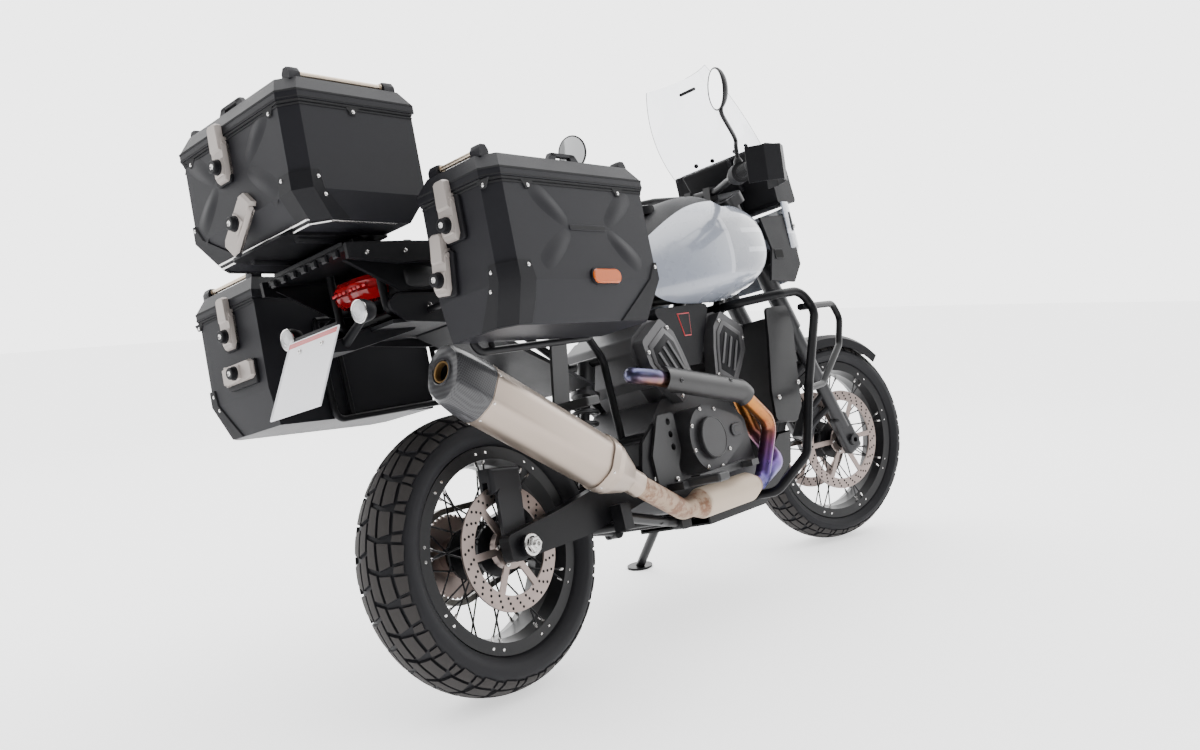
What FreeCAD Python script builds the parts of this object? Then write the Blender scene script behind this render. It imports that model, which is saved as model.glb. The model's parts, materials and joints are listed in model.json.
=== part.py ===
# Adventure motorcycle with two side cases and a top case, leaning on its side stand
import FreeCAD, Part
import math
import os

from FreeCAD import Placement, Rotation, Vector

os.makedirs("parts", exist_ok=True)

# All lengths are millimetres, all angles are degrees.
# Every piece is drawn on the upright motorcycle: X forward, Y to the rider's left, Z up,
# from the point where the rear tyre meets the floor. Half widths are measured from the middle.

# Stance
wheelbase = 1580.0
rake_angle = 25.0
fork_offset = 40.0
lean_angle = 14.0
steer_angle = 17.0
origin_ahead = 720.0
origin_left = 266.0

# Fits, gaps and cutting overrun
bearing_gap = 0.05
seat_gap = 0.3
overrun = 12.0

# Rear wheel
rear_tyre_radius = 318.0
rear_tyre_width = 170.0
rear_crown_radius = 124.0
rear_bead_radius = 216.0
rear_bead_width = 116.0
rear_hub_half = 76.0
rear_hub_flange = 52.0
rear_disc_radius = 140.0
rear_disc_band = 36.0
rear_disc_offset = 90.0
sprocket_radius = 98.0
sprocket_thickness = 8.0
sprocket_offset = 100.0
sprocket_teeth = 45
tooth_depth = 7.0

# Front wheel
front_tyre_radius = 325.0
front_tyre_width = 120.0
front_crown_radius = 74.0
front_bead_radius = 241.0
front_bead_width = 80.0
front_hub_half = 66.0
front_hub_flange = 36.0
front_disc_radius = 160.0
front_disc_band = 32.0
front_disc_offset = 70.0

# Both wheels
rim_lip_height = 15.0
rim_lip_thickness = 7.0
rim_depth = 13.0
rim_well_depth = 22.0
hub_barrel_radius = 34.0
hub_flange_radius = 60.0
hub_flange_thickness = 8.0
spoke_radius = 2.2
spoke_count = 18
spoke_sweep = 34.0
disc_thickness = 5.0
carrier_radius = 46.0
carrier_arm_width = 16.0
carrier_arms = 6
axle_radius = 12.5
axle_bore_radius = 8.0
axle_collar_radius = 20.0
axle_nut_radius = 23.0
axle_nut_length = 16.0
tyre_shoulder_share = 0.9
tyre_widest_share = 0.42

# Swingarm and rear axle
swingarm_inner = 116.0
swingarm_thickness = 30.0
swingarm_pivot_x = 470.0
swingarm_pivot_z = 375.0
swingarm_height = 92.0
swingarm_end_height = 56.0
swingarm_bridge_x = 348.0
swingarm_bridge_length = 52.0
pivot_radius = 16.0

# Chain drive
front_sprocket_x = 520.0
front_sprocket_z = 372.0
front_sprocket_radius = 40.0
chain_gap = 1.5
chain_height = 14.0
chain_width = 17.0

# Rear brake caliper
rear_caliper_length = 92.0
rear_caliper_height = 58.0
rear_caliper_width = 48.0
rear_caliper_angle = 6.0
caliper_bracket_thickness = 10.0
caliper_slot = 16.0
caliper_reach = 20.0

# Shock absorber
shock_top_x = 495.0
shock_top_z = 700.0
shock_low_x = 375.0
shock_low_z = 392.0
shock_body_radius = 24.0
shock_spring_radius = 38.0
shock_wire_radius = 6.0
shock_spring_length = 190.0
shock_spring_turns = 6

# Steering and fork
fork_half_spacing = 102.0
slider_radius = 22.0
fork_tube_radius = 28.0
fork_tube_low = 425.0
fork_tube_high = 898.0
fork_foot_low = 42.0
fork_foot_high = 95.0
fork_foot_width = 36.0
fork_foot_length = 62.0
lower_clamp_at = 672.0
upper_clamp_at = 880.0
clamp_thickness = 32.0
clamp_length = 92.0
clamp_end_radius = 42.0
clamp_waist = 60.0
stem_radius = 15.0
head_tube_radius = 33.0
head_tube_gap = 3.0
front_axle_half = 124.0

# Handlebar and what it carries
bar_radius = 11.0
bar_half = 440.0
bar_drop_back = 185.0
bar_clamp_height = 56.0
bar_rise = 16.0
bar_clamp_half = 46.0
bar_clamp_width = 30.0
grip_radius = 17.0
grip_length = 125.0
switch_length = 62.0
switch_height = 58.0
lever_length = 175.0
lever_thickness = 9.0
lever_ahead = 58.0
handguard_depth = 105.0
handguard_height = 96.0
handguard_thickness = 4.0
handguard_length = 205.0
mirror_radius = 62.0
mirror_height_share = 0.82
mirror_depth = 26.0
mirror_half = 425.0
mirror_stem_radius = 6.0
mirror_x = 985.0
mirror_z = 1388.0

# Front brake calipers and fender
front_caliper_length = 118.0
front_caliper_angle = 60.0
front_caliper_height = 54.0
front_caliper_width = 48.0
fender_clearance = 16.0
fender_thickness = 4.0
fender_half = 66.0
fender_side = 34.0
fender_ahead = 42.0
fender_behind = 46.0

# Frame
frame_tube_radius = 16.0
frame_half = 92.0
engine_mount_x = 1015.0
engine_mount_z = 790.0
backbone_rear_x = 690.0
backbone_z = 860.0
mid_frame_thickness = 12.0
tail_tube_radius = 12.0
tail_half = 96.0
tail_front_x = 560.0
tail_front_z = 822.0
tail_end_x = -150.0
tail_end_z = 868.0
tail_strut_x = 495.0
tail_strut_z = 482.0
tail_strut_half = 60.0
tail_strut_radius = 10.0

# Engine
crank_x = 790.0
crank_z = 420.0
bank_angle = 30.0
crankcase_back = 520.0
crankcase_front = 985.0
crankcase_low = 262.0
crankcase_high = 590.0
crankcase_half = 118.0
chain_room = 5.0
barrel_length = 150.0
barrel_half = 76.0
barrel_from = 120.0
barrel_to = 262.0
head_length = 176.0
head_half = 118.0
head_to = 392.0
head_cover_thickness = 34.0
head_cover_share = 0.86
clutch_centre_x = 690.0
clutch_centre_z = 440.0
clutch_radius = 88.0
clutch_lobe_radius = 40.0
clutch_lobe_ahead = 122.0
clutch_lobe_up = 4.0
side_cover_depth = 76.0
derby_radius = 56.0
derby_depth = 12.0
alternator_radius = 84.0
sprocket_cover_radius = 62.0
intake_half = 128.0
intake_low = 640.0
intake_high = 806.0
intake_top_length = 262.0
intake_bottom_length = 60.0

# Radiator and shrouds
radiator_x = 1125.0
radiator_depth = 44.0
radiator_half = 176.0
radiator_low = 430.0
radiator_high = 742.0
radiator_slant = 9.0
radiator_stay_radius = 8.0
shroud_half = 214.0
shroud_thickness = 8.0
shroud_back = 992.0
shroud_front = 1200.0
shroud_low = 420.0
shroud_high = 760.0

# Exhaust
header_radius = 21.0
header_half = 218.0
header_back = 452.0
header_front = 968.0
header_low = 292.0
header_high = 640.0
catalyst_radius = 40.0
catalyst_back = 604.0
catalyst_front = 842.0
catalyst_half = 178.0
catalyst_z = 284.0
link_radius = 26.0
muffler_half = 222.0
muffler_front_x = 262.0
muffler_front_z = 418.0
muffler_tip_x = -196.0
muffler_tip_z = 711.0
muffler_height = 134.0
muffler_width = 108.0
muffler_cap_share = 0.25
muffler_neck_share = 0.1
outlet_radius = 25.0
shield_thickness = 3.0
shield_radius = 33.0
shield_band = 12.0

# Fuel tank
tank_back = 585.0
tank_front = 1182.0
tank_low = 812.0
tank_high = 1150.0
tank_half = 226.0
tank_tunnel_half = 124.0
tank_tunnel_high = 892.0
tank_notch_half = 162.0
tank_notch_x = 1055.0
tank_panel_half = 118.0
filler_x = 870.0
filler_radius = 48.0
filler_height = 12.0

# Seats
seat_back = 150.0
seat_front = 640.0
seat_low = 838.0
seat_high = 905.0
seat_half = 148.0
pillion_back = -165.0
pillion_front = 142.0
pillion_low = 905.0
pillion_high = 968.0
pillion_half = 140.0

# Tail, lamp, indicators and plate
tail_fairing_back = -215.0
tail_fairing_front = 500.0
tail_fairing_half = 122.0
tail_fairing_low = 815.0
tail_fairing_high = 902.0
tail_fairing_thickness = 8.0
lamp_x = -215.0
lamp_z = 936.0
lamp_half = 74.0
lamp_length = 60.0
lamp_height = 56.0
indicator_x = -292.0
indicator_z = 868.0
indicator_half = 140.0
indicator_radius = 25.0
indicator_depth = 34.0
indicator_arm_radius = 9.0
plate_width = 180.0
plate_height = 178.0
plate_thickness = 2.0
plate_top_x = -318.0
plate_top_z = 852.0
plate_slant = 29.0
plate_holder_thickness = 8.0

# Rack and case carriers
rack_inset = 40.0
rack_half = 128.0
rack_thickness = 6.0
rack_tube_radius = 9.0
carrier_tube_radius = 8.0
carrier_back = -150.0
carrier_front = 215.0
carrier_height = 235.0
carrier_below_seam = 42.0

# Cases: place of the rear inner corner at the lid seam, then size
case_pitch = 3.0
case_wall = 3.0
case_bevel = 30.0
case_chamfer_inset = 42.0
lid_height = 52.0
lid_inset = 14.0
lid_lip = 5.0
lid_gap = 0.5
lid_hinge_ahead = 5.0
right_case_back = -212.0
right_case_length = 475.0
right_case_outer = 490.0
right_case_depth = 200.0
right_case_seam = 1035.0
right_case_side = 200.0
right_case_chamfer = 80.0
left_case_back = -291.0
left_case_length = 470.0
left_case_outer = 492.0
left_case_depth = 266.0
left_case_seam = 988.0
left_case_side = 205.0
left_case_chamfer = 85.0
top_case_back = -416.0
top_case_length = 307.0
top_case_width = 418.0
top_case_seam = 1278.0
top_case_side = 178.0
top_case_chamfer = 56.0
latch_width = 44.0
latch_height = 92.0
latch_thickness = 20.0
latch_knob_radius = 13.0
latch_knob_depth = 12.0

# Crash bars
bar_tube_radius = 13.0
bar_back = 905.0
bar_front = 1223.0
bar_low = 246.0
bar_high = 790.0
bar_reach = 290.0
bar_bend = 48.0
hoop_front = 1424.0
hoop_low = 504.0
hoop_tube_radius = 10.0

# Skid plate
skid_back = 700.0
skid_front = 1196.0
skid_low = 214.0
skid_high = 392.0
skid_thickness = 5.0
skid_half = crankcase_half + seat_gap + skid_thickness

# Nose: cowl, headlight, windscreen, display
nose_back = 1342.0
nose_front = 1500.0
nose_half = 196.0
cowl_low = 850.0
cowl_high = 1085.0
cowl_thickness = 5.0
housing_high = 1282.0
housing_back = 1352.0
housing_front = 1462.0
housing_half = 178.0
lens_thickness = 12.0
lens_share = 0.82
nose_stay_half = 18.0
nose_stay_high = 1052.0
nose_stay_low = 992.0
nose_stay_front = 1377.0
nose_stay_thickness = 9.0
nose_post_half = 54.0
screen_thickness = 3.0
screen_low = 1262.0
screen_high = 1545.0
screen_low_x = 1425.0
screen_high_x = 1262.0
screen_half_low = 172.0
screen_half_high = 118.0
screen_bow = 70.0
display_half = 88.0
display_height = 116.0
display_depth = 22.0
display_x = 1296.0
display_z = 1205.0
display_tilt = 28.0

# Foot controls
peg_x = 545.0
peg_z = 332.0
peg_offset = 205.0
peg_length = 108.0
peg_width = 46.0
peg_height = 22.0
pillion_peg_x = 235.0
pillion_peg_z = 585.0
hanger_thickness = 8.0
pedal_length = 190.0
pedal_height = 20.0
pedal_thickness = 10.0
pedal_offset = 224.0
pedal_rise = 8.0
pedal_pad_width = 44.0

# Side stand
stand_pivot_x = 835.0
stand_pivot_half = 150.0
stand_pivot_z = 240.0
stand_foot_x = 939.0
stand_foot_left = 371.0
stand_foot_length = 92.0
stand_foot_width = 68.0
stand_foot_thickness = 7.0
stand_leg_radius = 13.0
stand_eye_radius = 22.0
stand_eye_thickness = 30.0
stand_lug_thickness = 10.0
stand_pin_radius = 7.0

# Centre stand, folded up
centre_pivot_x = 583.0
centre_pivot_z = 248.0
centre_half = 112.0
centre_foot_half = 172.0
centre_leg_length = 292.0
centre_leg_radius = 13.0
centre_straight = 60.0
centre_foot_length = 62.0
centre_foot_height = 34.0
centre_rise = 13.0
centre_cross_share = 0.35
centre_eye_radius = 20.0


# General shapes

def polygon_face(points):
    return Part.Face(Part.makePolygon(list(points) + [points[0]]))


def corner_arc(before, corner, after, radius):
    """Tangent points and middle of the arc that rounds one corner."""
    back = (before - corner)
    ahead = (after - corner)
    room = min(back.Length, ahead.Length)
    back.normalize()
    ahead.normalize()
    half_turn = back.getAngle(ahead) / 2
    reach = min(radius / math.tan(half_turn), room * 0.49)
    radius = reach * math.tan(half_turn)
    inward = (back + ahead).normalize()
    centre = corner + inward * (radius / math.sin(half_turn))
    return corner + back * reach, centre - inward * radius, corner + ahead * reach


def rounded_wire(points, radius):
    """Closed outline through the points with every corner rounded."""
    count = len(points)
    arcs = [corner_arc(points[i - 1], points[i], points[(i + 1) % count], radius) for i in range(count)]
    edges = []
    for i, (start, middle, end) in enumerate(arcs):
        edges.append(Part.Arc(start, middle, end).toShape())
        edges.append(Part.LineSegment(end, arcs[(i + 1) % count][0]).toShape())
    return Part.Wire(edges)


def rounded_path(points, radius):
    """Open route through the points with its inner corners rounded."""
    edges = []
    start = points[0]
    for before, corner, after in zip(points, points[1:], points[2:]):
        first, middle, last = corner_arc(before, corner, after, radius)
        edges.append(Part.LineSegment(start, first).toShape())
        edges.append(Part.Arc(first, middle, last).toShape())
        start = last
    edges.append(Part.LineSegment(start, points[-1]).toShape())
    return Part.Wire(edges)


def tube(points, radius, bend):
    path = rounded_path(points, bend)
    circle = Part.makeCircle(radius, points[0], points[1] - points[0])
    return path.makePipeShell([Part.Wire(circle)], True, True)


def rod(start, end, radius):
    return Part.makeCylinder(radius, (end - start).Length, start, end - start)


def block(low_x, high_x, low_y, high_y, low_z, high_z):
    corner = Vector(low_x, low_y, low_z)
    return Part.makeBox(high_x - low_x, high_y - low_y, high_z - low_z, corner)


def side_plate(points, low_y, high_y, radius):
    """Plate whose outline of (x, z) places lies in the plane of the wheels."""
    outline = [Vector(x, low_y, z) for x, z in points]
    wire = rounded_wire(outline, radius)
    return Part.Face(wire).extrude(Vector(0, high_y - low_y, 0))


def flat_plate(points, low_z, high_z, radius):
    outline = [Vector(x, y, low_z) for x, y in points]
    wire = rounded_wire(outline, radius)
    return Part.Face(wire).extrude(Vector(0, 0, high_z - low_z))


def turned(points):
    """Solid of revolution about the Y axis from (radius, y) places."""
    face = polygon_face([Vector(r, y, 0) for r, y in points])
    return face.revolve(Vector(0, 0, 0), Vector(0, 1, 0), 360)


def disc_y(radius, low_y, high_y, x=0.0, z=0.0):
    return Part.makeCylinder(radius, high_y - low_y, Vector(x, low_y, z), Vector(0, 1, 0))


def between(low, high, shares):
    """Places inside the box from low to high, given as shares of its sides."""
    size = high - low
    return [low + Vector(size.x * a, size.y * b, size.z * c) for a, b, c in shares]


def outline(low_x, high_x, low_z, high_z, shares):
    return [(low_x + (high_x - low_x) * a, low_z + (high_z - low_z) * b) for a, b in shares]


def mirrored(shape):
    return shape.mirror(Vector(0, 0, 0), Vector(0, 1, 0))


def both_sides(shape):
    return [shape, mirrored(shape)]


def fused(shapes):
    first, rest = shapes[0], list(shapes[1:])
    return first.fuse(rest).removeSplitter() if rest else first


def compound(shapes):
    return Part.makeCompound(list(shapes))


def turned_about(shape, centre, axis, angle):
    copy = shape.copy()
    copy.rotate(centre, axis, angle)
    return copy


def moved(shape, offset):
    copy = shape.copy()
    copy.translate(offset)
    return copy


def smooth_section(points):
    curve = Part.BSplineCurve()
    curve.interpolate(points, PeriodicFlag=True)
    return Part.Wire([curve.toShape()])


made_pieces = {}


def made(make):
    """A piece that others are fitted to is built once."""
    if make not in made_pieces:
        made_pieces[make] = make()
    return made_pieces[make]


def clear_of(shape, *others):
    for other in others:
        shape = shape.cut(made(other))
    return shape


# Directions and places that several pieces share

forward = Vector(1, 0, 0)
leftward = Vector(0, 1, 0)
upward = Vector(0, 0, 1)
rake_sin = math.sin(math.radians(rake_angle))
rake_cos = math.cos(math.radians(rake_angle))
steer_axis = Vector(-rake_sin, 0, rake_cos)
rear_axle_place = Vector(0, 0, rear_tyre_radius)
front_axle_place = Vector(wheelbase, 0, front_tyre_radius)
stem_foot = front_axle_place - Vector(rake_cos, 0, rake_sin) * fork_offset


def on_stem(distance):
    return stem_foot + steer_axis * distance


def on_fork(distance, side):
    return front_axle_place + steer_axis * distance + leftward * (side * fork_half_spacing)


# Stance: lean to the left, turned bars, both tyres on the floor

def lean_rotation():
    return Rotation(forward, -lean_angle)


def steer_placement():
    return Placement(Vector(0, 0, 0), Rotation(steer_axis, -steer_angle), stem_foot)


def tyre_lowest(axle, axis, radius, crown):
    tilt = math.sqrt(1 - axis.z ** 2)
    return axle.z - (radius - crown) * tilt - crown


def stance_placement():
    lean = Placement(Vector(0, 0, 0), lean_rotation())
    steer = steer_placement()
    pitch_angle = 0.0
    for _ in range(4):
        pitch = Placement(Vector(0, 0, 0), Rotation(leftward, pitch_angle))
        stance = pitch.multiply(lean)
        rear_axis = stance.Rotation.multVec(leftward)
        rear = tyre_lowest(stance.multVec(rear_axle_place), rear_axis, rear_tyre_radius, rear_crown_radius)
        turned_front = stance.multiply(steer)
        front_axis = turned_front.Rotation.multVec(leftward)
        front_axle = turned_front.multVec(front_axle_place)
        front = tyre_lowest(front_axle, front_axis, front_tyre_radius, front_crown_radius)
        pitch_angle += math.degrees((front - rear) / wheelbase)
    shift = Placement(Vector(-origin_ahead, -origin_left, -rear), Rotation())
    return shift.multiply(stance)


stance = stance_placement()
steering_stance = stance.multiply(steer_placement())


# Wheels

def tyre(radius, width, crown, bead_radius, bead_width):
    half = width / 2
    bead = bead_width / 2 - seat_gap
    lip = bead_radius + rim_lip_height
    shoulder = half * tyre_shoulder_share
    shoulder_radius = radius - crown + math.sqrt(crown ** 2 - shoulder ** 2)
    widest = lip + (shoulder_radius - lip) * tyre_widest_share

    def place(r, y):
        return Vector(r, y, 0)

    edges = [
        Part.LineSegment(place(bead_radius, -bead), place(bead_radius, bead)),
        Part.LineSegment(place(bead_radius, bead), place(lip, bead)),
        Part.Arc(place(lip, bead), place(widest, half), place(shoulder_radius, shoulder)),
        Part.Arc(place(shoulder_radius, shoulder), place(radius, 0), place(shoulder_radius, -shoulder)),
        Part.Arc(place(shoulder_radius, -shoulder), place(widest, -half), place(lip, -bead)),
        Part.LineSegment(place(lip, -bead), place(bead_radius, -bead)),
    ]
    wire = Part.Wire([edge.toShape() for edge in edges])
    return Part.Face(wire).revolve(Vector(0, 0, 0), leftward, 360)


def rim(bead_radius, bead_width):
    bead = bead_width / 2
    edge = bead + rim_lip_thickness
    lip = bead_radius + rim_lip_height
    seat = bead_radius - seat_gap
    inner = bead_radius - rim_depth
    well = bead_radius - rim_well_depth
    half = [(seat, bead), (lip, bead), (lip, edge), (inner, edge), (well, bead / 2)]
    return turned(half + [(r, -y) for r, y in reversed(half)])


def hub(half_length, flange):
    bore = axle_radius + bearing_gap
    inner = flange - hub_flange_thickness
    half = [
        (bore, half_length), (hub_barrel_radius, half_length), (hub_barrel_radius, flange),
        (hub_flange_radius, flange), (hub_flange_radius, inner), (hub_barrel_radius, inner),
    ]
    return turned(half + [(r, -y) for r, y in reversed(half)])


def spoke(start, end):
    direction = end - start
    hexagon = [Vector(spoke_radius, 0, 0)]
    for corner in range(1, 6):
        angle = math.radians(60 * corner)
        hexagon.append(Vector(math.cos(angle), math.sin(angle), 0) * spoke_radius)
    prism = polygon_face(hexagon).extrude(upward * direction.Length)
    prism.Placement = Placement(start, Rotation(upward, direction))
    return prism


def spokes(bead_radius, bead_width, flange):
    hub_radius = hub_flange_radius - hub_flange_thickness / 2
    rim_radius = bead_radius - rim_depth / 2
    rim_y = bead_width / 2
    hub_y = flange - hub_flange_thickness / 2
    result = []
    for side in (-1, 1):
        for number in range(spoke_count):
            lead = spoke_sweep if number % 2 else -spoke_sweep
            start_angle = math.radians(360 / spoke_count * (number + (side + 1) / 4))
            end_angle = start_angle + math.radians(lead)
            start = Vector(hub_radius * math.cos(start_angle), side * hub_y, hub_radius * math.sin(start_angle))
            end = Vector(rim_radius * math.cos(end_angle), side * rim_y, rim_radius * math.sin(end_angle))
            result.append(spoke(start, end))
    return result


def spoked_wheel(centre, bead_radius, bead_width, hub_half, flange):
    pieces = [rim(bead_radius, bead_width), hub(hub_half, flange)]
    wheel = pieces[0].fuse(pieces[1:] + spokes(bead_radius, bead_width, flange))
    return moved(wheel, centre)


def brake_disc(centre, radius, band, offset, hub_half):
    """Disc ring on its carrier, which seats on the end of the hub."""
    side = 1 if offset > 0 else -1
    low = offset - disc_thickness / 2
    high = offset + disc_thickness / 2
    inner = radius - band
    bore = axle_collar_radius + overrun / 2
    ring = disc_y(radius, low, high).cut(disc_y(inner, low - overrun, high + overrun))
    seat = side * hub_half
    carrier = disc_y(carrier_radius, min(low, seat), max(high, seat))
    arms = []
    for number in range(carrier_arms):
        arm = block(0, inner + band / 4, -carrier_arm_width / 2, carrier_arm_width / 2, low, high)
        arm = turned_about(arm, Vector(0, 0, 0), forward, -90)
        arm = moved(arm, Vector(0, 0, 0))
        arms.append(turned_about(arm, Vector(0, 0, 0), leftward, 360 / carrier_arms * number))
    disc = fused([ring, carrier] + arms).cut(disc_y(bore, -abs(offset) - overrun, abs(offset) + overrun))
    return moved(disc, centre)


def rear_tyre():
    shape = tyre(rear_tyre_radius, rear_tyre_width, rear_crown_radius, rear_bead_radius, rear_bead_width)
    return moved(shape, rear_axle_place)


def front_tyre():
    shape = tyre(front_tyre_radius, front_tyre_width, front_crown_radius, front_bead_radius, front_bead_width)
    return moved(shape, front_axle_place)


def rear_wheel():
    return spoked_wheel(rear_axle_place, rear_bead_radius, rear_bead_width, rear_hub_half, rear_hub_flange)


def front_wheel():
    return spoked_wheel(front_axle_place, front_bead_radius, front_bead_width, front_hub_half, front_hub_flange)


def rear_disc_and_sprocket():
    return compound([rear_disc(), sprocket()])


def rear_disc():
    return brake_disc(rear_axle_place, rear_disc_radius, rear_disc_band, -rear_disc_offset, rear_hub_half)


def front_discs():
    right = brake_disc(front_axle_place, front_disc_radius, front_disc_band, -front_disc_offset, front_hub_half)
    return compound(both_sides(right))


def sprocket():
    points = []
    for number in range(sprocket_teeth * 2):
        angle = math.radians(180 / sprocket_teeth * number)
        radius = sprocket_radius - (tooth_depth if number % 2 else 0)
        points.append(Vector(radius * math.cos(angle), 0, radius * math.sin(angle)))
    low = sprocket_offset - sprocket_thickness / 2
    high = sprocket_offset + sprocket_thickness / 2
    wheel = moved(polygon_face(points).extrude(leftward * sprocket_thickness), leftward * low)
    boss = disc_y(carrier_radius, rear_hub_half, high)
    bore = disc_y(axle_collar_radius + overrun / 2, -overrun, high + overrun)
    return moved(fused([wheel, boss]).cut(bore), rear_axle_place)


# Swingarm, axle, chain, caliper, shock absorber

def swingarm():
    low = rear_tyre_radius - swingarm_end_height / 2
    high = swingarm_pivot_z + swingarm_height / 2
    shares = [(0, 0), (0.45, 0.04), (0.93, 0.36), (1, 0.6), (0.98, 0.88), (0.8, 1), (0.3, 0.62), (0, 0.45)]
    back = -swingarm_end_height * 0.9
    points = outline(back, swingarm_pivot_x + swingarm_height / 2, low, high, shares)
    arm = side_plate(points, swingarm_inner, swingarm_inner + swingarm_thickness, swingarm_end_height / 4)
    hole = disc_y(axle_radius + seat_gap, 0, swingarm_inner * 2, 0, rear_tyre_radius)
    pivot_hole = disc_y(pivot_radius + seat_gap, 0, swingarm_inner * 2, swingarm_pivot_x, swingarm_pivot_z)
    arm = arm.cut(hole).cut(pivot_hole)
    bridge_low = swingarm_pivot_z - swingarm_height / 4
    bridge = block(
        swingarm_bridge_x, swingarm_bridge_x + swingarm_bridge_length,
        -swingarm_inner, swingarm_inner, bridge_low, bridge_low + swingarm_height / 2)
    return fused(both_sides(arm) + [bridge])


def rear_axle():
    outer = swingarm_inner + swingarm_thickness
    shaft = disc_y(axle_radius, -outer - axle_nut_length, outer + axle_nut_length)
    collars = []
    for side in (-1, 1):
        seat = side * (rear_hub_half + seat_gap)
        arm_face = side * (swingarm_inner - seat_gap)
        collars.append(disc_y(axle_collar_radius, min(seat, arm_face), max(seat, arm_face)))
        nut_face = side * (outer + seat_gap)
        nut_end = side * (outer + axle_nut_length)
        collars.append(disc_y(axle_nut_radius, min(nut_face, nut_end), max(nut_face, nut_end)))
    return moved(fused([shaft] + collars), rear_axle_place)


def pivot_shaft():
    reach = swingarm_inner + swingarm_thickness + mid_frame_thickness
    return disc_y(pivot_radius, -reach, reach, swingarm_pivot_x, swingarm_pivot_z)


def loop_wire(back_radius, front_radius, y):
    """Outline of a belt or chain around the two sprockets."""
    back = Vector(0, y, rear_tyre_radius)
    front = Vector(front_sprocket_x, y, front_sprocket_z)
    along = front - back
    length = along.Length
    along.normalize()
    across = Vector(-along.z, 0, along.x)
    tilt = math.asin((back_radius - front_radius) / length)
    top = across * math.cos(tilt) + along * math.sin(tilt)
    bottom = across * -math.cos(tilt) + along * math.sin(tilt)
    edges = [
        Part.LineSegment(back + top * back_radius, front + top * front_radius),
        Part.Arc(front + top * front_radius, front + along * front_radius, front + bottom * front_radius),
        Part.LineSegment(front + bottom * front_radius, back + bottom * back_radius),
        Part.Arc(back + bottom * back_radius, back - along * back_radius, back + top * back_radius),
    ]
    return Part.Wire([edge.toShape() for edge in edges])


def chain():
    low = sprocket_offset - chain_width / 2
    back = sprocket_radius + chain_gap
    inner = loop_wire(back, front_sprocket_radius, low)
    outer = loop_wire(back + chain_height, front_sprocket_radius + chain_height, low)
    return Part.Face([outer, inner]).extrude(leftward * chain_width)


def caliper(length, height, width, disc_radius, offset):
    """Caliper over the rim of a disc whose axle is at the origin, on top of it."""
    half = width / 2
    low = disc_radius - caliper_reach
    body = block(-length / 2, length / 2, offset - half, offset + half, low, low + height)
    body = body.makeFillet(height / 6, [edge for edge in body.Edges if abs(edge.tangentAt(0).y) < 0.5])
    slot = block(
        -length, length, offset - caliper_slot / 2, offset + caliper_slot / 2,
        low - overrun, disc_radius + caliper_slot / 2)
    return body.cut(slot)


def rear_caliper():
    shape = caliper(
        rear_caliper_length, rear_caliper_height, rear_caliper_width, rear_disc_radius, -rear_disc_offset)
    outer = -swingarm_inner + seat_gap
    inner = outer + caliper_bracket_thickness
    boss, reach = axle_collar_radius * 1.6, rear_disc_radius - caliper_reach / 2
    points = [(-boss, -boss), (boss, -boss), (rear_caliper_length * 0.4, reach), (-rear_caliper_length * 0.4, reach)]
    plate = side_plate(points, outer, inner, boss / 2)
    plate = plate.cut(disc_y(axle_collar_radius + seat_gap, outer - overrun, inner + overrun))
    shape = turned_about(fused([shape, plate]), Vector(0, 0, 0), leftward, rear_caliper_angle)
    return moved(shape, rear_axle_place)


def coil(radius, wire_radius, length, turns):
    helix = Part.makeHelix(length / turns, length, radius)
    circle = Part.makeCircle(wire_radius, Vector(radius, 0, 0), leftward)
    return Part.Wire(helix.Edges).makePipeShell([Part.Wire(circle)], True, True)


def rear_shock():
    top = Vector(shock_top_x, 0, shock_top_z)
    low = Vector(shock_low_x, 0, shock_low_z)
    length = (top - low).Length
    eye = shock_body_radius
    body = Part.makeCylinder(shock_body_radius * 0.55, length, Vector(0, 0, 0), upward)
    upper = Part.makeCylinder(
        shock_body_radius, length - shock_spring_length - eye * 2,
        upward * (shock_spring_length + eye * 2), upward)
    lower_seat = Part.makeCylinder(shock_spring_radius, eye / 2, upward * (eye * 1.5), upward)
    upper_seat = Part.makeCylinder(shock_spring_radius, eye / 2, upward * (shock_spring_length + eye * 2), upward)
    spring = coil(shock_spring_radius - shock_wire_radius, shock_wire_radius, shock_spring_length, shock_spring_turns)
    spring = moved(spring, upward * (eye * 2))
    core = fused([body, upper, lower_seat, upper_seat])
    place = Placement(low, Rotation(upward, top - low))
    core.Placement = place
    spring.Placement = place.multiply(spring.Placement)
    core = clear_of(core, swingarm, tail_frame)
    return compound([core, spring.cut(core)])


# Fork and steering

def clamp_plate(distance, bore):
    """Clamp that joins the two fork tubes and the steering stem."""
    legs = fork_half_spacing + clamp_end_radius
    ahead = fork_offset + fork_tube_radius + overrun
    behind = -stem_radius - overrun
    points = [
        (behind, -clamp_waist), (0, -legs), (ahead, -legs), (ahead + overrun, 0),
        (ahead, legs), (0, legs), (behind, clamp_waist), (behind - overrun, 0),
    ]
    plate = flat_plate(points, -clamp_thickness / 2, clamp_thickness / 2, fork_tube_radius)
    plate.Placement = Placement(on_stem(distance), Rotation(leftward, -rake_angle))
    return plate


def fork_foot(side):
    centre = on_fork(0, side)
    foot = block(
        -fork_foot_length / 2, fork_foot_length / 2, -fork_foot_width / 2, fork_foot_width / 2,
        -fork_foot_low, fork_foot_high)
    foot = foot.makeFillet(fork_foot_width / 3, foot.Edges)
    foot.Placement = Placement(centre, Rotation(leftward, -rake_angle))
    return foot.cut(rod(centre - leftward * fork_foot_width, centre + leftward * fork_foot_width, axle_radius + seat_gap))


def fork_and_axle():
    return fused([fork(), front_axle()])


def swingarm_and_axle():
    return fused([swingarm(), rear_axle()])


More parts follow.
